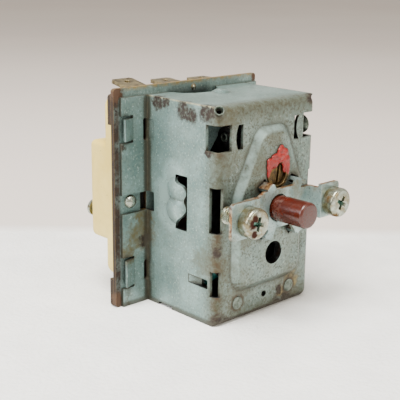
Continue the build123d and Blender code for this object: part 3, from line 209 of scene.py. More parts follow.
def zinc_plated_sheet():
    """Zinc-plated, chromated steel sheet, folded and pressed, then years in a hot appliance: half
    matt blue-green grey with dark specks, an olive film on the bends, brown rust where it was cut,
    painted highlights on the lobes, crests and panel slope, and painted shade in hollows and inside."""
    material, place = finish("zinc_plated_steel_sheet_aged")
    front = band(material, place, 1, 13.0, 8.5)
    colour = zinc_skin(material, place, level(material, 0.2, 0.75, front))

    # the whole front warmer and darker in patches; an olive film, thicker along the bends
    warm_patches = cloud(material, place, 5.0, 0.34, 0.70, 6.0)
    colour = tint(material, colour, srgb("625E4A"),
                  both(material, level(material, 0.35, 1.0, warm_patches), front, 0.5))
    bends = most(
        material,
        near_line(material, place, (BOX_LEFT + 0.6, 8.4, -26), (BOX_LEFT + 0.6, 8.4, 22), 3.8),
        near_line(material, place, (BOX_LEFT, 8.2, BOX_TOP - 1), (BOX_RIGHT, 8.2, BOX_TOP - 1), 4.2),
        near_line(material, place, (BOX_LEFT, 8.2, -25.6), (BOX_RIGHT, 8.2, -25.6), 3.4),
        near_line(material, place, (BOX_LEFT, 31.4, -26), (BOX_LEFT, 31.4, 22), 1.6),
    )
    olive = cloud(material, place, 1.1, 0.28, 0.62, 6.0)
    smudge = level(material, 0.45, 1.0, olive)
    colour = tint(material, colour, srgb("433F2B"), both(material, bends, smudge, 0.85))
    around = blots(material, place, [
        ((-4.4, 7.2, 10.6), 5.0), ((-12.4, 8.0, 20.6), 3.4), ((1.0, 6.5, 15.6), 3.4),
        ((-2.2, 6.5, 4.6), 3.4),
        ((8.8, 6.5, 5.6), 3.2), ((-12.4, 7.2, -13.2), 4.4), ((8.6, 8.0, -20.4), 6.0),
        ((-8.2, 8.0, -20.2), 4.6),
        ((-11.6, 8.0, 11.0), 3.6), ((-15.4, 12.0, -12.0), 4.4), ((-8.0, 7.0, -6.0), 3.4),
    ], 2.0)
    colour = tint(material, colour, srgb("4C4630"), both(material, around, smudge, 0.6))
    flange = blots(material, place,
                   [((-18.0, 31.6, -9.4), 4.4), ((-21.6, 31.6, -13.5), 3.0), ((-17.0, 31.6, -5.4), 2.6)],
                   1.4)
    colour = tint(material, colour, srgb("5E5030"), both(material, flange, smudge, 0.9))

    # painted highlight where the lobes were pressed out, and a painted highlight along the folds' crests
    lobe_sheen_patches = blots(material, place,
                   [((-16.0, 22.4, 6.4), 4.6), ((-16.2, 23.6, -2.8), 4.8), ((-16.0, 25.6, 2.0), 4.2)], 0.5)
    colour = tint(material, colour, srgb("90A6A3"), both(material, lobe_sheen_patches, 0.6))
    crest_highlight = most(
        material,
        near_line(material, place, (BOX_LEFT, 8.8, BOX_TOP), (BOX_LEFT, 31.6, BOX_TOP), 0.45),
        near_line(material, place, (BOX_LEFT, 31.9, -25), (BOX_LEFT, 31.9, 22), 0.55),
    )
    colour = tint(material, colour, srgb("C0BB98"),
                  both(material, crest_highlight, cloud(material, place, 3.0, 0.3, 0.5), 0.9))

    # rust: along cut edges, and in blots
    cut_edge, rounded = edge_wear(material, 0.22)
    broken = cloud(material, place, 1.5, 0.38, 0.56, 5.0)
    rims = most(
        material,
        near_line(material, place, (-14.6, 8.0, 13.8), (-14.6, 8.0, 20.0), 2.6),
        near_line(material, place, (BOX_LEFT + 0.5, 8.4, -5.0), (BOX_LEFT + 0.5, 8.4, -13.2), 1.8),
        near_line(material, place, (BOX_LEFT + 0.6, 8.4, -19.6), (BOX_LEFT + 0.6, 8.4, -26.6), 2.0),
        near_line(material, place, (-6.0, 8.3, -26.3), (12.0, 8.3, -26.3), 1.3),
        near_line(material, place, (-21.6, 31.8, -26.6), (-21.6, 31.8, -14.0), 1.2),
    )
    colour = tint(material, colour, srgb("493A27"), both(material, rims, broken, 0.9))
    stains = blots(material, place, [
        ((-15.4, 28.0, 22.8), 2.6), ((-15.4, 25.4, 23.0), 1.7), ((-15.4, 19.2, 22.0), 2.9),
        ((-15.4, 16.6, 21.2), 2.4),
        ((-15.0, 12.0, 22.2), 2.6), ((-14.9, 10.2, 22.6), 1.8), ((-14.4, 8.2, -25.8), 2.8),
        ((-12.4, 8.0, -26.4), 2.4),
        ((5.0, 8.0, -26.0), 2.2), ((8.4, 8.2, -25.4), 2.4), ((2.0, 8.2, -26.6), 1.4),
        ((14.9, 8.6, 22.9), 1.8), ((-14.8, 8.4, -8.8), 1.5),
        ((-16.6, 31.7, -11.0), 2.0), ((-23.0, 31.7, 12.4), 1.2), ((-15.4, 11.0, 13.6), 1.3),
        ((5.8, 8.0, -22.6), 1.5),
    ], 0.7)
    rust_noise = level(material, 0.55, 1.0, cloud(material, place, 0.7, 0.30, 0.60, 6.0))
    rust = both(material, stains, rust_noise)
    crust = blots(material, place,
                  [((9.6, 8.0, -20.4), 2.6), ((6.4, 8.0, -23.0), 1.7), ((11.4, 8.0, -21.6), 1.6)], 0.6)
    chalk = cloud(material, place, 1.1, 0.40, 0.60, 5.0)
    colour = tint(material, colour, tint(material, srgb("3A301A"), srgb("7E7048"), chalk),
                  both(material, crust, 0.95))
    colour = tint(material, colour, srgb("2C2112"), rust)
    heart = both(material, stains, stains, cloud(material, place, 0.9, 0.42, 0.54, 5.0))
    colour = tint(material, colour, srgb("1D0F06"), heart)
    colour = tint(material, colour, srgb("44301F"), both(material, cut_edge, broken, 0.85))
    # a thin dark brown line along the top sheet's right edge
    right_edge = near_line(material, place, (BOX_RIGHT, 13.0, BOX_TOP), (BOX_RIGHT, 32.0, BOX_TOP), 0.4)
    colour = tint(material, colour, srgb("3A2A1C"), right_edge)

    # dirt rings round the two front rivets
    rings = None
    for x in (-8.4, 9.2):
        away = add(material, "ShaderNodeVectorMath",
                   {0: place, 1: Vector((x, 8.0, -22.2)) * MM}, operation="DISTANCE").outputs["Value"]
        off = add(material, "ShaderNodeMath", {0: away, 1: 1.75 * MM}, operation="SUBTRACT").outputs[0]
        gap = add(material, "ShaderNodeMath", {0: off}, operation="ABSOLUTE").outputs[0]
        ring = add(material, "ShaderNodeMapRange",
                   {"Value": gap, "From Min": 0.15 * MM, "From Max": 0.7 * MM, "To Min": 1.0,
                    "To Max": 0.0}).outputs[0]
        rings = ring if rings is None else most(material, rings, ring)
    colour = tint(material, colour, srgb("3F3120"),
                  both(material, rings, cloud(material, place, 1.2, 0.3, 0.5, 4.0), 0.9))

    # painted shade in the foot of the raised panel's rim and other hollows, darkened by occlusion
    hollow = add(material, "ShaderNodeAmbientOcclusion", {"Distance": 1.6 * MM}, samples=8).outputs["AO"]
    grime_and_shade = add(material, "ShaderNodeMapRange",
                {"Value": hollow, "From Min": 0.985, "From Max": 0.86}).outputs[0]
    colour = tint(material, colour, srgb("38352A"), both(material, grime_and_shade, 0.85))

    # painted light on the pressed panel's slope, in patches, where it faces up and to the left towards the
    # lamps
    blurred = add(material, "ShaderNodeBevel", {"Radius": 0.9 * MM}, samples=8).outputs[0]
    tilt = add(material, "ShaderNodeVectorMath", {0: blurred, 1: Vector((-0.6, 0, 0.8))},
               operation="DOT_PRODUCT").outputs["Value"]
    faces_lamps = add(material, "ShaderNodeMapRange",
                   {"Value": tilt, "From Min": 0.10, "From Max": 0.55}).outputs[0]
    sheet_front = band(material, place, 1, 8.1, 7.7)
    slope_light = both(material, faces_lamps, sheet_front, cloud(material, place, 2.0, 0.28, 0.62, 5.0), 0.75)
    colour = tint(material, colour, srgb("94AAA6"), slope_light)

    # painted shade, near black, on the faces that look into the box
    colour = tint(material, colour, srgb("0C0B0A"), looks_inward(material, place))
    rough = level(material, 0.36, 0.72, most(material, rust, both(material, bends, olive), rims))
    rough = level(material, rough, 0.24, both(material, lobe_sheen_patches, 0.8))
    relief = add(material, "ShaderNodeTexNoise",
                 {"Vector": place, "Scale": 1 / (0.45 * MM), "Detail": 3.0, "Roughness": 0.6}).outputs[0]
    metallic = level(material, 0.5, 0.05, most(material, rust, looks_inward(material, place)))
    return coat(material, colour, metallic, rough, relief, 0.016, rounded)


def looks_inward(material, place):
    """1 on the faces of the box that look towards its middle."""
    middle = Vector(((BOX_LEFT + BOX_RIGHT) / 2, 20.0, (BOX_TOP + FLOOR_Z) / 2)) * MM
    outward = add(material, "ShaderNodeVectorMath", {0: place, 1: middle}, operation="SUBTRACT").outputs[0]
    face = add(material, "ShaderNodeNewGeometry").outputs["True Normal"]
    facing = add(material, "ShaderNodeVectorMath", {0: outward, 1: face},
                 operation="DOT_PRODUCT").outputs["Value"]
    inner = add(material, "ShaderNodeMath", {0: facing, 1: -2.0 * MM}, operation="LESS_THAN").outputs[0]
    split = add(material, "ShaderNodeSeparateXYZ", {0: outward})
    aside = add(material, "ShaderNodeMath", {0: split.outputs[0]}, operation="ABSOLUTE").outputs[0]
    within = add(material, "ShaderNodeMath", {0: aside, 1: (BOX_RIGHT - BOX_LEFT) / 2 * MM},
                 operation="LESS_THAN").outputs[0]
    return both(material, inner, within)


def zinc_plated_plate():
    """Thicker zinc-plated plate, sheared to size: blue-grey skin, golden-brown sheared edges, a brown
    strip of rust down the side that stands out from the box, and painted shade in its hollows."""
    material, place = finish("zinc_plated_plate_rusted_edges")
    colour = zinc_skin(material, place, 0.3)
    split = add(material, "ShaderNodeSeparateXYZ",
                {0: add(material, "ShaderNodeNewGeometry").outputs["True Normal"]})
    depthward = add(material, "ShaderNodeMath", {0: split.outputs[1]}, operation="ABSOLUTE").outputs[0]
    sheared = add(material, "ShaderNodeMapRange",
                  {"Value": depthward, "From Min": 0.6, "From Max": 0.4}).outputs[0]
    grain = cloud(material, place, 1.1, 0.34, 0.66, 5.0)
    gold = tint(material, srgb("7C6230"), srgb("46321A"), grain)
    side = add(material, "ShaderNodeMapRange",
               {"Value": split.outputs[0], "From Min": -0.4, "From Max": -0.6}).outputs[0]
    gold = tint(material, gold, tint(material, srgb("22150A"), srgb("3E2A12"), grain), side)
    colour = tint(material, colour, gold, sheared)
    strip = band(material, place, 0, -22.7, -23.5)
    coarse = cloud(material, place, 3.4, 0.34, 0.54, 5.0)
    colour = tint(material, colour, srgb("291A0C"),
                  both(material, strip, level(material, 0.6, 1.0, coarse)))
    colour = tint(material, colour, srgb("170D05"),
                  both(material, strip, cloud(material, place, 0.9, 0.5, 0.62, 5.0)))
    top = band(material, place, 2, 25.0, 25.7)
    colour = tint(material, colour, srgb("86703C"),
                  both(material, top, cloud(material, place, 1.6, 0.36, 0.6, 4.0), 0.85))
    spots = blots(material, place,
                  [((-23.6, 32.4, 24.8), 2.2), ((20.9, 32.4, 25.0), 1.3), ((-24.0, 32.4, -25.0), 2.6)], 0.8)
    colour = tint(material, colour, srgb("47301F"), spots)
    # painted shade where the box's top sheet stands open over the plate, and near-black painted shade on
    # the plate behind the slots
    shade = near_line(material, place, (-7.6, 32.4, 23.0), (3.6, 32.4, 23.2), 2.3)
    colour = tint(material, colour, srgb("1C2423"), level(material, 0.0, 0.9, shade))
    colour = tint(material, colour, srgb("0C0B0A"), both(
        material, band(material, place, 1, 33.38, 33.40), band(material, place, 1, 33.44, 33.42),
        level(material, 0.0, 1.0, band(material, place, 2, 23.8, 23.6))))
    mask, rounded = edge_wear(material, 0.2)
    colour = tint(material, colour, srgb("8C7040"), both(material, mask, 0.4))
    # painted shade: near black where the plate looks into deep hollows
    inside = add(material, "ShaderNodeAmbientOcclusion", {"Distance": 6.0 * MM}, samples=4).outputs["AO"]
    deep_shade = add(material, "ShaderNodeMapRange",
               {"Value": inside, "From Min": 0.30, "From Max": 0.08}).outputs[0]
    colour = tint(material, colour, srgb("0C0B0A"), deep_shade)
    relief = add(material, "ShaderNodeTexNoise",
                 {"Vector": place, "Scale": 1 / (0.5 * MM), "Detail": 4.0, "Roughness": 0.65}).outputs[0]
    return coat(material, colour, level(material, 0.45, 0.05, strip), level(material, 0.4, 0.8, strip),
                relief, 0.03, rounded)


def bracket_spring_steel():
    """Zinc-plated spring steel strip: cleaner and shinier than the box, with rust-orange cut edges."""
    material, place = finish("zinc_plated_spring_steel_strip")
    colour = tint(material, srgb("768B89"), srgb("9BAEAB"), cloud(material, place, 3.0, 0.36, 0.64))
    specks = cloud(material, place, 0.4, 0.60, 0.68, 1.5)
    colour = tint(material, colour, srgb("3C382C"), both(material, specks, 0.6))
    film = blots(material, place, [
        ((-6.6, 3.8, 3.4), 3.0), ((6.4, 3.8, 3.6), 3.2), ((11.0, 2.0, 4.0), 2.2), ((-11.0, 1.0, 3.4), 2.2),
        ((16.0, 0.4, 3.8), 2.2), ((0.5, 3.8, 4.0), 2.4), ((-18.0, 0.4, -3.0), 1.6), ((4.6, 5.0, -6.4), 2.4),
    ], 1.2)
    colour = tint(material, colour, srgb("6B5A34"),
                  both(material, film, cloud(material, place, 1.6, 0.34, 0.64, 5.0), 0.6))
    face = add(material, "ShaderNodeNewGeometry").outputs["True Normal"]
    split = add(material, "ShaderNodeSeparateXYZ", {0: face})
    upright = add(material, "ShaderNodeMath", {0: split.outputs[2]}, operation="ABSOLUTE").outputs[0]
    cut = add(material, "ShaderNodeMapRange",
              {"Value": upright, "From Min": 0.5, "From Max": 0.75}).outputs[0]
    outer = both(material, band(material, place, 0, -18.6, -18.78),
                 add(material, "ShaderNodeMapRange",
                     {"Value": split.outputs[0], "From Min": -0.5, "From Max": -0.75}).outputs[0])
    cut = most(material, cut, outer)
    edge = tint(material, srgb("8A6A40"), srgb("4E2F1E"), cloud(material, place, 0.8, 0.38, 0.6, 5.0))
    colour = tint(material, colour, edge,
                  both(material, cut, level(material, 0.55, 1.0, cloud(material, place, 1.6, 0.36, 0.52))))
    rounded = edge_wear(material, 0.15)[1]
    relief = add(material, "ShaderNodeTexNoise",
                 {"Vector": place, "Scale": 1 / (0.4 * MM), "Detail": 2.0}).outputs[0]
    return coat(material, colour, 0.62, level(material, 0.34, 0.6, film), relief, 0.012, rounded)


def bright_zinc_screw():
    """Bright zinc-plated machine screw: mirror-like but pitted, yellow on its sides, with green-grey
    dirt in the recess and one brown stain where water stood."""
    material, place = finish("bright_zinc_plated_fastener")
    colour = tint(material, srgb("858C80"), srgb("ADB3A6"), cloud(material, place, 1.4, 0.36, 0.64))
    colour = tint(material, colour, srgb("6E5C34"),
                  both(material, cloud(material, place, 1.8, 0.46, 0.60, 5.0), 0.75))
    head = add(material, "ShaderNodeMapRange",
               {"Value": add(material, "ShaderNodeSeparateXYZ", {0: place}).outputs[1],
                "From Min": -2.95 * MM, "From Max": -2.2 * MM}).outputs[0]
    in_front = band(material, place, 1, 0.2, -0.1)
    colour = tint(material, colour, srgb("66552C"),
                  both(material, head, in_front, cloud(material, place, 1.5, 0.38, 0.60, 4.0), 0.7))
    stain = blots(material, place,
                  [((-15.4, -3.1, 0.6), 1.7), ((-14.9, -3.1, 1.7), 1.3), ((-15.2, -3.1, -1.6), 1.2)], 0.35)
    colour = tint(material, colour, srgb("34160B"), stain)
    rub = blots(material, place,
                [((11.6, -1.4, 0.8), 1.3), ((12.4, -3.0, -2.8), 1.1), ((-11.4, -2.9, -2.8), 1.2)], 0.5)
    colour = tint(material, colour, srgb("5C4526"), rub)
    recess = blots(material, place, [((-13.8, -1.6, 0.3), 2.3), ((14.2, -1.6, -0.1), 2.3)], 0.1)
    sunk = both(material, recess, add(material, "ShaderNodeMapRange",
                {"Value": add(material, "ShaderNodeSeparateXYZ", {0: place}).outputs[1],
                 "From Min": -2.9 * MM, "From Max": -2.5 * MM}).outputs[0])
    colour = tint(material, colour, srgb("567A6E"), sunk)
    relief = add(material, "ShaderNodeTexNoise",
                 {"Vector": place, "Scale": 1 / (0.5 * MM), "Detail": 3.0}).outputs[0]
    return coat(material, colour, 0.85, level(material, 0.26, 0.62, most(material, stain, rub)), relief,
                0.015)


def cream_ceramic():
    """Pressed and fired technical ceramic, unglazed: cream, a dry satin, with stray iron specks."""
    material, place = finish("cream_steatite_ceramic_fired")
    colour = tint(material, srgb("C8AD52"), srgb("D6BF6C"), cloud(material, place, 9.0, 0.36, 0.64))
    colour = tint(material, colour, srgb("A08A48"),
                  both(material, band(material, place, 1, 36.5, 35.0), 0.6))
    dots = cloud(material, place, 0.7, 0.755, 0.79, 1.0)
    colour = tint(material, colour, srgb("57492F"), both(material, dots, 0.85))
    grime_and_shade = cloud(material, place, 4.5, 0.56, 0.74, 5.0)
    colour = tint(material, colour, srgb("AE9A5E"), both(material, grime_and_shade, 0.5))
    relief = add(material, "ShaderNodeTexNoise",
                 {"Vector": place, "Scale": 1 / (0.6 * MM), "Detail": 4.0}).outputs[0]
    rounded = edge_wear(material, 0.3)[1]
    return coat(material, colour, 0.0, 0.46, relief, 0.02, rounded, IOR=1.55)


def red_brown_thermoset():
    """Moulded thermoset: deep red-brown, glossy from its mould, dulled and scratched near the foot
    and worn paler round its tip."""
    material, place = finish("red_brown_moulded_thermoset")
    colour = tint(material, srgb("360B03"), srgb("421306"), cloud(material, place, 2.6, 0.38, 0.62))
    foot = both(material, band(material, place, 1, 0.4, 1.6), band(material, place, 1, 4.4, 3.0))
    worn = cloud(material, place, 0.9, 0.48, 0.62, 5.0)
    colour = tint(material, colour, srgb("54301C"), both(material, foot, worn, 0.35))
    tip = band(material, place, 1, -3.9, -5.2)
    colour = tint(material, colour, srgb("42190F"), both(material, tip, 0.75))
    rim = near_line(material, place, (0, -5.4, 0), (0, -4.4, 0), 3.1)
    colour = tint(material, colour, srgb("70402C"),
                  both(material, rim, cloud(material, place, 0.35, 0.62, 0.70, 2.0), 0.6))
    relief = add(material, "ShaderNodeTexNoise",
                 {"Vector": place, "Scale": 1 / (0.7 * MM), "Detail": 4.0}).outputs[0]
    rough = level(material, 0.24, 0.55, both(material, foot, worn))
    return coat(material, colour, 0.0, rough, relief, 0.012, IOR=1.52)


def sealing_lacquer():
    """Brushed-on red sealing lacquer: thick, uneven and half gloss, thin and darker at its edge."""
    material, place = finish("red_sealing_lacquer_brushed")
    colour = tint(material, srgb("760500"), srgb("8E0E04"), cloud(material, place, 1.3, 0.38, 0.62))
    colour = tint(material, colour, srgb("3E0A06"),
                  both(material, cloud(material, place, 0.8, 0.56, 0.70, 4.0), 0.7))
    relief = add(material, "ShaderNodeTexNoise",
                 {"Vector": place, "Scale": 1 / (0.9 * MM), "Detail": 3.0}).outputs[0]
    return coat(material, colour, 0.0, 0.36, relief, 0.08, IOR=1.5)


def aged_brass():
    """Turned brass, tarnished: dark brown-gold, brighter where the screwdriver rubbed."""
    material, place = finish("turned_brass_tarnished")
    colour = tint(material, srgb("4A3A24"), srgb("7A6338"), cloud(material, place, 1.2, 0.40, 0.62, 4.0))
    colour = tint(material, colour, srgb("3C3022"),
                  both(material, cloud(material, place, 0.7, 0.50, 0.64, 4.0), 0.8))
    mask, rounded = edge_wear(material, 0.16)
    colour = tint(material, colour, srgb("B49C6A"), both(material, mask, 0.7))
    relief = add(material, "ShaderNodeTexNoise",
                 {"Vector": place, "Scale": 1 / (0.4 * MM), "Detail": 3.0}).outputs[0]
    return coat(material, colour, 0.8, 0.42, relief, 0.015, rounded)


def dark_shade_steel():
    """Plain cold-rolled steel inside the box, coloured almost black as painted shade, with a painted glint
    on its edges.
    """
    material, place = finish("cold_rolled_steel_dark_as_shade")
    colour = tint(material, srgb("1E1E1E"), srgb("3A3A3B"), cloud(material, place, 1.6, 0.38, 0.64))
    colour = tint(material, colour, srgb("33221A"),
                  both(material, cloud(material, place, 1.1, 0.54, 0.66, 4.0), 0.7))
    mask, rounded = edge_wear(material, 0.18)
    colour = tint(material, colour, srgb("7C7C78"), both(material, mask, 0.6))
    relief = add(material, "ShaderNodeTexNoise",
                 {"Vector": place, "Scale": 1 / (0.35 * MM), "Detail": 2.0}).outputs[0]
    return coat(material, colour, 0.8, 0.34, relief, 0.012, rounded)


def terminal_brass():
    """Stamped and tinned brass blades: dull grey-gold, brown where the tin has gone, bright at the
    punched edges."""
    material, place = finish("stamped_tinned_brass_dulled")
    colour = tint(material, srgb("5F5640"), srgb("837758"), cloud(material, place, 2.2, 0.38, 0.62))
    colour = tint(material, colour, srgb("3E3222"),
                  both(material, cloud(material, place, 1.4, 0.50, 0.64, 5.0), 0.85))
    mask, rounded = edge_wear(material, 0.18)
    colour = tint(material, colour, srgb("8C7B50"), both(material, mask, 0.7))
    drawn = add(material, "ShaderNodeMapping",
                {"Vector": place, "Scale": (1 / (0.2 * MM), 1 / (6.0 * MM), 1 / (6.0 * MM))})
    relief = add(material, "ShaderNodeTexNoise",
                 {"Vector": drawn.outputs[0], "Scale": 1.0, "Detail": 2.0}).outputs[0]
    return coat(material, colour, 0.75, 0.42, relief, 0.01, rounded)


def metal(name, dark, light, size, roughness, depth=0.01):
    """A plain metal inside the part: uneven tone in patches size mm across, with a fine grain."""
    material, place = finish(name)
    colour = tint(material, srgb(dark), srgb(light), cloud(material, place, size, 0.36, 0.64, 4.0))
    mask, rounded = edge_wear(material, 0.12)
    colour = tint(material, colour, srgb(light), both(material, mask, 0.6))
    relief = add(material, "ShaderNodeTexNoise",
                 {"Vector": place, "Scale": 1 / (0.3 * MM), "Detail": 3.0}).outputs[0]
    return coat(material, colour, 0.95, roughness, relief, depth, rounded)


def moulded(name, dark, light, size, roughness, depth=0.02):
    """A moulded or fired insulator: uneven tone in patches size mm across, with a fine grain."""
    material, place = finish(name)
    colour = tint(material, srgb(dark), srgb(light), cloud(material, place, size, 0.36, 0.64, 4.0))
    relief = add(material, "ShaderNodeTexNoise",
                 {"Vector": place, "Scale": 1 / (0.4 * MM), "Detail": 3.0}).outputs[0]
    return coat(material, colour, 0.0, roughness, relief, depth, IOR=1.5)


FINISHES = {
    "zinc_housing": zinc_plated_sheet(),
    "zinc_plate": zinc_plated_plate(),
    "bracket_steel": bracket_spring_steel(),
    "bright_screw": bright_zinc_screw(),
    "ceramic": cream_ceramic(),
    "button_plastic": red_brown_thermoset(),
    "red_lacquer": sealing_lacquer(),
    "aged_brass": aged_brass(),
    "inner_steel": dark_shade_steel(),
    "terminal_metal": terminal_brass(),
    # zinc-plated rivet steel, dulled grey-green by handling and heat
    "dull_rivet": metal("zinc_plated_rivet_dulled", "4C5249", "79837A", 1.0, 0.42),
    # white fired ceramic rods, dry and chalky
    "ceramic_pin": moulded("white_ceramic_rod_fired", "D8D2C2", "ECE8DC", 1.5, 0.5),
    # pressed phenolic, dark brown with a dull moulded skin
    "brown_insulation": moulded("brown_phenolic_pressed", "3A2418", "543524", 2.0, 0.42),
    # extruded silicone sleeve, teal, matt and slightly dusty
    "green_sleeve": moulded("teal_silicone_sleeve", "14605C", "2A8078", 0.8, 0.55),
    # silver contact faces, polished by their own wiping
    "silver": metal("silver_contact_polished", "B4B4AE", "E2E2DC", 0.8, 0.24),
    # rolled bronze strip, copper-gold with rolling grain
    "spring_bronze": metal("spring_bronze_rolled", "8E6638", "C0935C", 1.2, 0.3),
    # drawn spring wire, dark grey under a film of oil
    "spring_steel": metal("spring_wire_drawn", "3C3C3C", "74746F", 0.8, 0.32),
    # rolled stainless capsule, grey with heat tint
    "diaphragm_metal": metal("stainless_capsule_rolled", "7C7A74", "A9A79F", 1.4, 0.3),
    # drawn copper tube, browned
    "capillary_copper": metal("copper_tube_drawn", "6E422C", "A86E4A", 0.9, 0.34),
}
for subpart in frame["record"]["subparts"]:
    node = frame["nodes"][subpart["node"]]
    node.data.materials.clear()
    node.data.materials.append(FINISHES[subpart["material_slot"]])

# ---- modelling tools -----------------------------------------------------------------------

def start_edit(pick=None):
    """Edit mode on the active piece, with only the faces that pick accepts selected."""
    bpy.ops.object.mode_set(mode="OBJECT")
    mesh = bpy.context.object.data
    for part in (mesh.vertices, mesh.edges, mesh.polygons):
        for element in part:
            element.select = False
    for face in mesh.polygons:
        face.select = pick is not None and pick(face)
    bpy.ops.object.mode_set(mode="EDIT")
    bpy.ops.mesh.select_mode(type="FACE")


def pick_edges(pick):
    """Edit mode with only the edges selected whose two ends pick accepts."""
    bpy.ops.object.mode_set(mode="OBJECT")
    mesh = bpy.context.object.data
    for part in (mesh.vertices, mesh.polygons):
        for element in part:
            element.select = False
    for edge in mesh.edges:
        edge.select = all(pick(mesh.vertices[end].co) for end in edge.vertices)
    bpy.ops.object.mode_set(mode="EDIT")
    bpy.ops.mesh.select_mode(type="EDGE")


def extrude(distance):
    """Extrudes what is selected along +Y, in mm."""
    bpy.ops.mesh.extrude_region_move(TRANSFORM_OT_translate={"value": (0, distance * MM, 0)})


def widen(ratio, centre):
    """Scales what is selected about an axis along Y through centre, in mm."""
    bpy.ops.transform.resize(value=(ratio, 1, ratio), center_override=Vector(centre) * MM)


def settle(name, body, slot, angle=35):
    """Names the finished piece, puts its place into its mesh, and gives it its body and finish."""
    if bpy.context.object.mode == "EDIT":
        bpy.ops.object.mode_set(mode="OBJECT")
    piece = bpy.context.object
    bpy.ops.object.transform_apply(location=True, rotation=True, scale=True)
    bpy.ops.object.mode_set(mode="EDIT")
    bpy.ops.mesh.select_all(action="SELECT")
    bpy.ops.mesh.remove_doubles(threshold=0.001 * MM)
    bpy.ops.mesh.normals_make_consistent(inside=False)
    bpy.ops.object.mode_set(mode="OBJECT")
    bpy.ops.object.shade_smooth_by_angle(angle=math.radians(angle))
    piece.name = name
    piece.data.materials.clear()
    piece.data.materials.append(FINISHES[slot])
    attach(piece, body)
    bpy.ops.object.select_all(action="DESELECT")
    return piece


def apply_modifier(kind, **settings):
    """Adds a modifier to the active piece and applies it."""
    piece = bpy.context.object
    modifier = piece.modifiers.new(kind.lower(), kind)
    for name, value in settings.items():
        setattr(modifier, name, value)
    bpy.ops.object.modifier_apply(modifier=modifier.name)


def rod(radius, front, rear, x=0.0, z=0.0, sides=64, ends="NGON"):
    """A cylinder lying along Y, from its front to its rear face."""
    bpy.ops.object.select_all(action="DESELECT")
    bpy.ops.mesh.primitive_cylinder_add(
        vertices=sides, radius=radius * MM, depth=(rear - front) * MM, end_fill_type=ends,
        location=(x * MM, (front + rear) / 2 * MM, z * MM), rotation=(math.radians(90), 0, 0))
    bpy.ops.object.transform_apply(location=True, rotation=True, scale=True)


# ---- reset button --------------------------------------------------------------------------
BUTTON_R = 3.0
BUTTON_TIP = -5.4
BARREL_REAR = 3.0
NECK_R = 2.75
COLLAR = (3.6, 9.55, 10.35)         # radius, front and rear
SPIGOT_R = 1.8
BUTTON_REAR = 12.0
SOCKET_R = 1.0
SOCKET_DEPTH = 6.0
TIP_ROUND = 0.62


def facing_rear(y):
    """Picks the faces that look to the rear at y mm."""
    return lambda face: face.normal.y > 0.9 and abs(face.center.y - y * MM) < 0.02 * MM


rod(BUTTON_R, BUTTON_TIP, BARREL_REAR, sides=96)
start_edit(facing_rear(BARREL_REAR))
extrude(0)
widen(NECK_R / BUTTON_R, (0, 0, 0))
extrude(COLLAR[1] - BARREL_REAR)
extrude(0)
widen(COLLAR[0] / NECK_R, (0, 0, 0))
extrude(COLLAR[2] - COLLAR[1])
extrude(0)
widen(SPIGOT_R / COLLAR[0], (0, 0, 0))
extrude(BUTTON_REAR - COLLAR[2])
extrude(0)
widen(SOCKET_R / SPIGOT_R, (0, 0, 0))
extrude(-SOCKET_DEPTH)
pick_edges(lambda place: place.y < (BUTTON_TIP + 0.01) * MM)
bpy.ops.mesh.bevel(offset=TIP_ROUND * MM, segments=7, profile=0.5)
button = settle("button_cap", "reset_button", "button_plastic", 50)
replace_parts(button, "reset_button")

# ---- panel screws --------------------------------------------------------------------------
SCREWS = {"left": (-13.8, 0.3, 12), "right": (14.2, -0.1, 28)}      # x, z and turn of the recess
HEAD_R = 3.45
HEAD_FRONT = -3.1
HEAD_REAR = -0.01
SHANK_R = 1.95
SHANK_END = 7.2
THREAD_START = 1.1
THREAD_PITCH = 0.7
THREAD_TURNS = 8
RECESS_REACH = 2.35
RECESS_W = 1.25
RECESS_DEPTH = 1.2
RECESS_NARROW = (0.40, 1, 0.45)     # share of the wing's reach and width left at its bottom
TICK_SHRINK = (0.62, 0.30, 0.35)    # of a wing, for the ticks between the wings
HEAD_EDGE = 0.75
CORE_R = SHANK_R - 0.30             # bottom of the thread
CORE_POINT = 0.45
RIDGE = 0.36                        # of the thread


def recess_wing(x, z, turn):
    """One bar of the cross, narrowing towards its bottom."""
    bpy.ops.object.select_all(action="DESELECT")
    bpy.ops.mesh.primitive_cube_add(size=1.0, location=(0, 0, 0))
    bpy.ops.transform.resize(value=(2 * RECESS_REACH * MM, 2 * RECESS_DEPTH * MM, RECESS_W * MM))
    bpy.ops.object.transform_apply(location=True, rotation=True, scale=True)
    start_edit(lambda face: face.normal.y > 0.9)
    bpy.ops.transform.resize(value=RECESS_NARROW, center_override=(0, RECESS_DEPTH * MM, 0))
    bpy.ops.object.mode_set(mode="OBJECT")
    wing = bpy.context.object
    wing.matrix_world = (Matrix.Translation(Vector((x, HEAD_FRONT, z)) * MM)
                         @ Matrix.Rotation(math.radians(turn), 4, "Y"))
    bpy.ops.object.transform_apply(location=True, rotation=True, scale=True)
    return wing


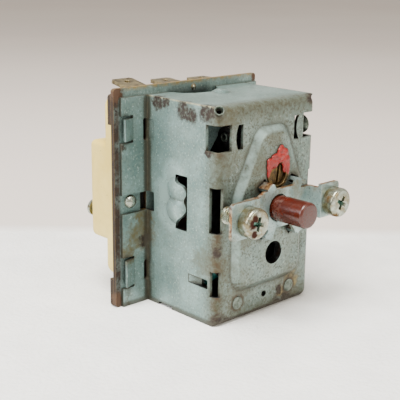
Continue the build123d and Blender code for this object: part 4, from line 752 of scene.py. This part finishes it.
def panel_screw(side, x, z, turn):
    """An M4 screw with a cross recess in its head and a cut thread."""
    wings = [recess_wing(x, z, turn + quarter) for quarter in (0, 90)]
    # fine ticks between the wings
    for tick in (45, 135):
        wing = recess_wing(x, z, turn + tick)
        start_edit(lambda face: True)
        bpy.ops.transform.resize(value=TICK_SHRINK, center_override=Vector((x, HEAD_FRONT, z)) * MM)
        bpy.ops.object.mode_set(mode="OBJECT")
        wings.append(wing)
    rod(HEAD_R, HEAD_FRONT, HEAD_REAR, x, z, 96)
    head = bpy.context.object
    pick_edges(lambda place: place.y < (HEAD_FRONT + 0.01) * MM)
    bpy.ops.mesh.bevel(offset=HEAD_EDGE * MM, segments=6, profile=0.55)
    pick_edges(lambda place: place.y > (HEAD_REAR - 0.01) * MM)
    bpy.ops.mesh.bevel(offset=0.12 * MM, segments=2)
    bpy.ops.object.mode_set(mode="OBJECT")
    for wing in wings:
        apply_modifier("BOOLEAN", object=wing, operation="DIFFERENCE", solver="EXACT")
    for wing in wings:
        bpy.data.objects.remove(wing)
    # the shank's core, with a pointed end
    rod(CORE_R, HEAD_REAR, SHANK_END, x, z, 48)
    core = bpy.context.object
    pick_edges(lambda place: place.y > (SHANK_END - 0.01) * MM)
    bpy.ops.mesh.bevel(offset=CORE_POINT * MM, segments=2)
    bpy.ops.object.mode_set(mode="OBJECT")
    # the plain length under the head
    rod(SHANK_R, HEAD_REAR, THREAD_START, x, z, 48)
    neck = bpy.context.object
    pick_edges(lambda place: place.y > (THREAD_START - 0.01) * MM)
    bpy.ops.mesh.bevel(offset=0.2 * MM, segments=2)
    bpy.ops.object.mode_set(mode="OBJECT")
    # the thread: a three-sided ridge wound round the core
    bpy.ops.object.select_all(action="DESELECT")
    bpy.ops.mesh.primitive_circle_add(vertices=3, radius=RIDGE * MM, fill_type="NOTHING",
                                      location=(x * MM, THREAD_START * MM, z * MM),
                                      rotation=(0, 0, math.radians(-90)))
    bpy.ops.object.transform_apply(location=False, rotation=True, scale=True)
    bpy.ops.object.mode_set(mode="EDIT")
    bpy.ops.mesh.select_all(action="SELECT")
    bpy.ops.transform.translate(value=((SHANK_R - RIDGE) * MM, 0, 0))
    bpy.ops.object.mode_set(mode="OBJECT")
    apply_modifier("SCREW", axis="Y", screw_offset=THREAD_PITCH * MM, iterations=THREAD_TURNS,
                   steps=36, render_steps=36, use_merge_vertices=False)
    start_edit()
    bpy.ops.mesh.select_mode(type="EDGE")
    bpy.ops.mesh.select_non_manifold()
    bpy.ops.mesh.fill()
    bpy.ops.object.mode_set(mode="OBJECT")
    for part in (head, core, neck):
        part.select_set(True)
    bpy.ops.object.join()
    return settle(f"panel_screw_{side}", "limiter_body", "bright_screw", 32)


for side, place in SCREWS.items():
    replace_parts(panel_screw(side, *place), "panel_screws")

# ---- sealing lacquer -----------------------------------------------------------------------
LACQUER = [                 # x, z, reach across, reach up and thickness of each dab
    (0.5, 9.7, 1.9, 1.3, 0.42), (2.4, 11.0, 2.5, 1.0, 0.50), (4.7, 9.9, 1.5, 1.5, 0.42),
    (5.4, 8.2, 0.8, 2.0, 0.34),
    (3.2, 12.1, 1.3, 1.3, 0.40), (4.4, 11.7, 1.2, 1.1, 0.36), (-0.6, 9.0, 0.9, 1.5, 0.34),
    (-0.7, 10.3, 0.8, 0.8, 0.30),
    (-0.9, 7.5, 0.5, 1.2, 0.28), (3.2, 13.0, 0.8, 0.7, 0.28), (4.4, 8.3, 0.6, 1.3, 0.30),
    (2.4, 10.0, 2.2, 0.5, 0.40),
]
LACQUER_Y = PANEL_FACE - 0.15

dabs = []
for x, z, across, up, thick in LACQUER:
    bpy.ops.object.select_all(action="DESELECT")
    bpy.ops.mesh.primitive_ico_sphere_add(subdivisions=4, radius=MM,
                                          location=(x * MM, LACQUER_Y * MM, z * MM))
    bpy.ops.object.mode_set(mode="EDIT")
    bpy.ops.mesh.select_all(action="SELECT")
    bpy.ops.transform.resize(value=(across, thick, up), center_override=(x * MM, LACQUER_Y * MM, z * MM))
    bpy.ops.object.mode_set(mode="OBJECT")
    dabs.append(bpy.context.object)
for dab in dabs:
    dab.select_set(True)
bpy.ops.object.join()
bpy.ops.object.transform_apply(location=True, rotation=True, scale=True)
apply_modifier("REMESH", mode="VOXEL", voxel_size=0.09 * MM)
lumps = bpy.data.textures.new("brush_lumps", "CLOUDS")
lumps.noise_scale = 0.9 * MM
apply_modifier("DISPLACE", texture=lumps, strength=0.16 * MM, mid_level=0.5, texture_coords="LOCAL")
apply_modifier("SMOOTH", factor=0.5, iterations=3)
lacquer = settle("lacquer_seal", "limiter_body", "red_lacquer", 60)
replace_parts(lacquer, "sealing_lacquer")

# ---- eyelet at the folded corner, and the rolled rim of the view hole -----------------------
EYELET = Vector((-14.85, 8.42, 23.2))
EYELET_LOOKS = Vector((0.55, 0.62, -0.42))
EYELET_R = 0.62
rod(EYELET_R, -0.35, 0.45, sides=40, ends="NOTHING")
pick_edges(lambda place: place.y < -0.34 * MM)
widen(1.55, (0, -0.35, 0))
bpy.ops.mesh.extrude_edges_move(TRANSFORM_OT_translate={"value": (0, 0.10 * MM, 0)})
widen(1.12, (0, -0.25, 0))
bpy.ops.object.mode_set(mode="OBJECT")
apply_modifier("SOLIDIFY", thickness=0.14 * MM, offset=0.0)
apply_modifier("BEVEL", width=0.05 * MM, segments=2, limit_method="ANGLE")
eyelet = bpy.context.object
eyelet_turn = EYELET_LOOKS.to_track_quat("Y", "Z").to_matrix().to_4x4()
eyelet.matrix_world = Matrix.Translation(EYELET * MM) @ eyelet_turn
settle("corner_eyelet", "limiter_body", "dull_rivet", 40)

VIEW_HOLE = (1.8, -11.8)
VIEW_HOLE_R = 2.75
rod(VIEW_HOLE_R - 0.06, PANEL_FACE + 0.12, PANEL_FACE + 1.9, *VIEW_HOLE, 72, "NOTHING")
pick_edges(lambda place: place.y < (PANEL_FACE + 0.13) * MM)
widen(1.09, (VIEW_HOLE[0], 0, VIEW_HOLE[1]))
pick_edges(lambda place: place.y > (PANEL_FACE + 1.89) * MM)
widen(0.93, (VIEW_HOLE[0], 0, VIEW_HOLE[1]))
bpy.ops.object.mode_set(mode="OBJECT")
apply_modifier("SOLIDIFY", thickness=0.3 * MM, offset=0.0)
apply_modifier("BEVEL", width=0.1 * MM, segments=3, limit_method="ANGLE")
settle("view_hole_rim", "limiter_body", "inner_steel", 50)

# ---- stage ---------------------------------------------------------------------------------
AWAY = (0.6855, 0.7280)             # level direction in which the white sheet ends
SHEET_END = 68.5                    # mm along it


def bench():
    """A white foam sheet with a pale, warm wall-coloured surface beyond it."""
    bpy.ops.object.select_all(action="DESELECT")
    bpy.ops.mesh.primitive_plane_add(size=8.0, location=(0, 0, FLOOR_Z * MM))
    sheet = bpy.context.object
    sheet.name = "bench_sheet"
    bpy.ops.object.transform_apply(location=True, rotation=True, scale=True)
    material, place = finish("white_foam_sheet_on_warm_bench")
    travel = add(material, "ShaderNodeVectorMath", {0: place, 1: (*AWAY, 0)}, operation="DOT_PRODUCT")
    beyond = add(material, "ShaderNodeMapRange",
                 {"Value": travel.outputs["Value"], "From Min": (SHEET_END - 3) * MM,
                  "From Max": (SHEET_END + 5) * MM})
    soft = cloud(material, place, 14.0, 0.3, 0.7)
    white = tint(material, srgb("E4E4E2"), srgb("F0F0EE"), soft)
    warm = tint(material, srgb("CFC5BE"), srgb("D6CDC6"), cloud(material, place, 400.0, 0.3, 0.7))
    colour = tint(material, white, warm, beyond.outputs[0])
    grain = add(material, "ShaderNodeTexNoise",
                {"Vector": place, "Scale": 1 / (1.1 * MM), "Detail": 3.0}).outputs[0]
    relief = both(material, grain, level(material, 1.0, 0.0, beyond.outputs[0]))
    sheet.data.materials.append(coat(material, colour, 0.0, 0.85, relief, 0.35))
    bpy.ops.object.select_all(action="DESELECT")


bench()


def lamp(name, place, aim, size, watts, colour):
    """A square area light, aimed at a place, both in metres."""
    light = bpy.data.lights.new(name, "AREA")
    light.shape = "SQUARE"
    light.size = size
    light.energy = watts
    light.color = srgb(colour)[:3]
    holder = bpy.data.objects.new(name, light)
    bpy.context.scene.collection.objects.link(holder)
    holder.location = place
    holder.rotation_euler = (Vector(aim) - Vector(place)).to_track_quat("-Z", "Y").to_euler()


lamp("top_softbox", (-0.16, -0.02, 0.50), (0, 0.01, 0), 0.30, 8.5, "FFFCF6")
lamp("left_softbox", (-0.50, 0.16, 0.24), (0, 0.01, 0), 0.30, 2.8, "F4FAFF")
lamp("front_softbox", (0.16, -0.50, 0.22), (0, 0.01, 0), 0.30, 1.6, "FFF4E6")

ROOM_LIGHT = 0.85
world = bpy.data.worlds.new("room")
bpy.context.scene.world = world
world.use_nodes = True
world.node_tree.nodes["Background"].inputs[0].default_value = srgb("F6EEE2")
world.node_tree.nodes["Background"].inputs[1].default_value = ROOM_LIGHT

# ---- camera --------------------------------------------------------------------------------
CAMERA_AT = Vector((-146.95, -126.22, 55.69)) * MM
CAMERA_TURN = -43.275           # degrees round the object from straight in front
CAMERA_TILT = 15.484            # degrees above the level
CAMERA_ROLL = 0.672
LENS = 80.5

camera = bpy.data.cameras.new("camera")
camera.lens = LENS
camera.sensor_width = 36
camera.clip_start = 0.01
camera_object = bpy.data.objects.new("camera", camera)
bpy.context.scene.collection.objects.link(camera_object)
camera_object.matrix_world = (
    Matrix.Translation(CAMERA_AT)
    @ Matrix.Rotation(math.radians(CAMERA_TURN), 4, "Z")
    @ Matrix.Rotation(math.radians(90 - CAMERA_TILT), 4, "X")
    @ Matrix.Rotation(math.radians(CAMERA_ROLL), 4, "Z")
)
bpy.context.scene.camera = camera_object
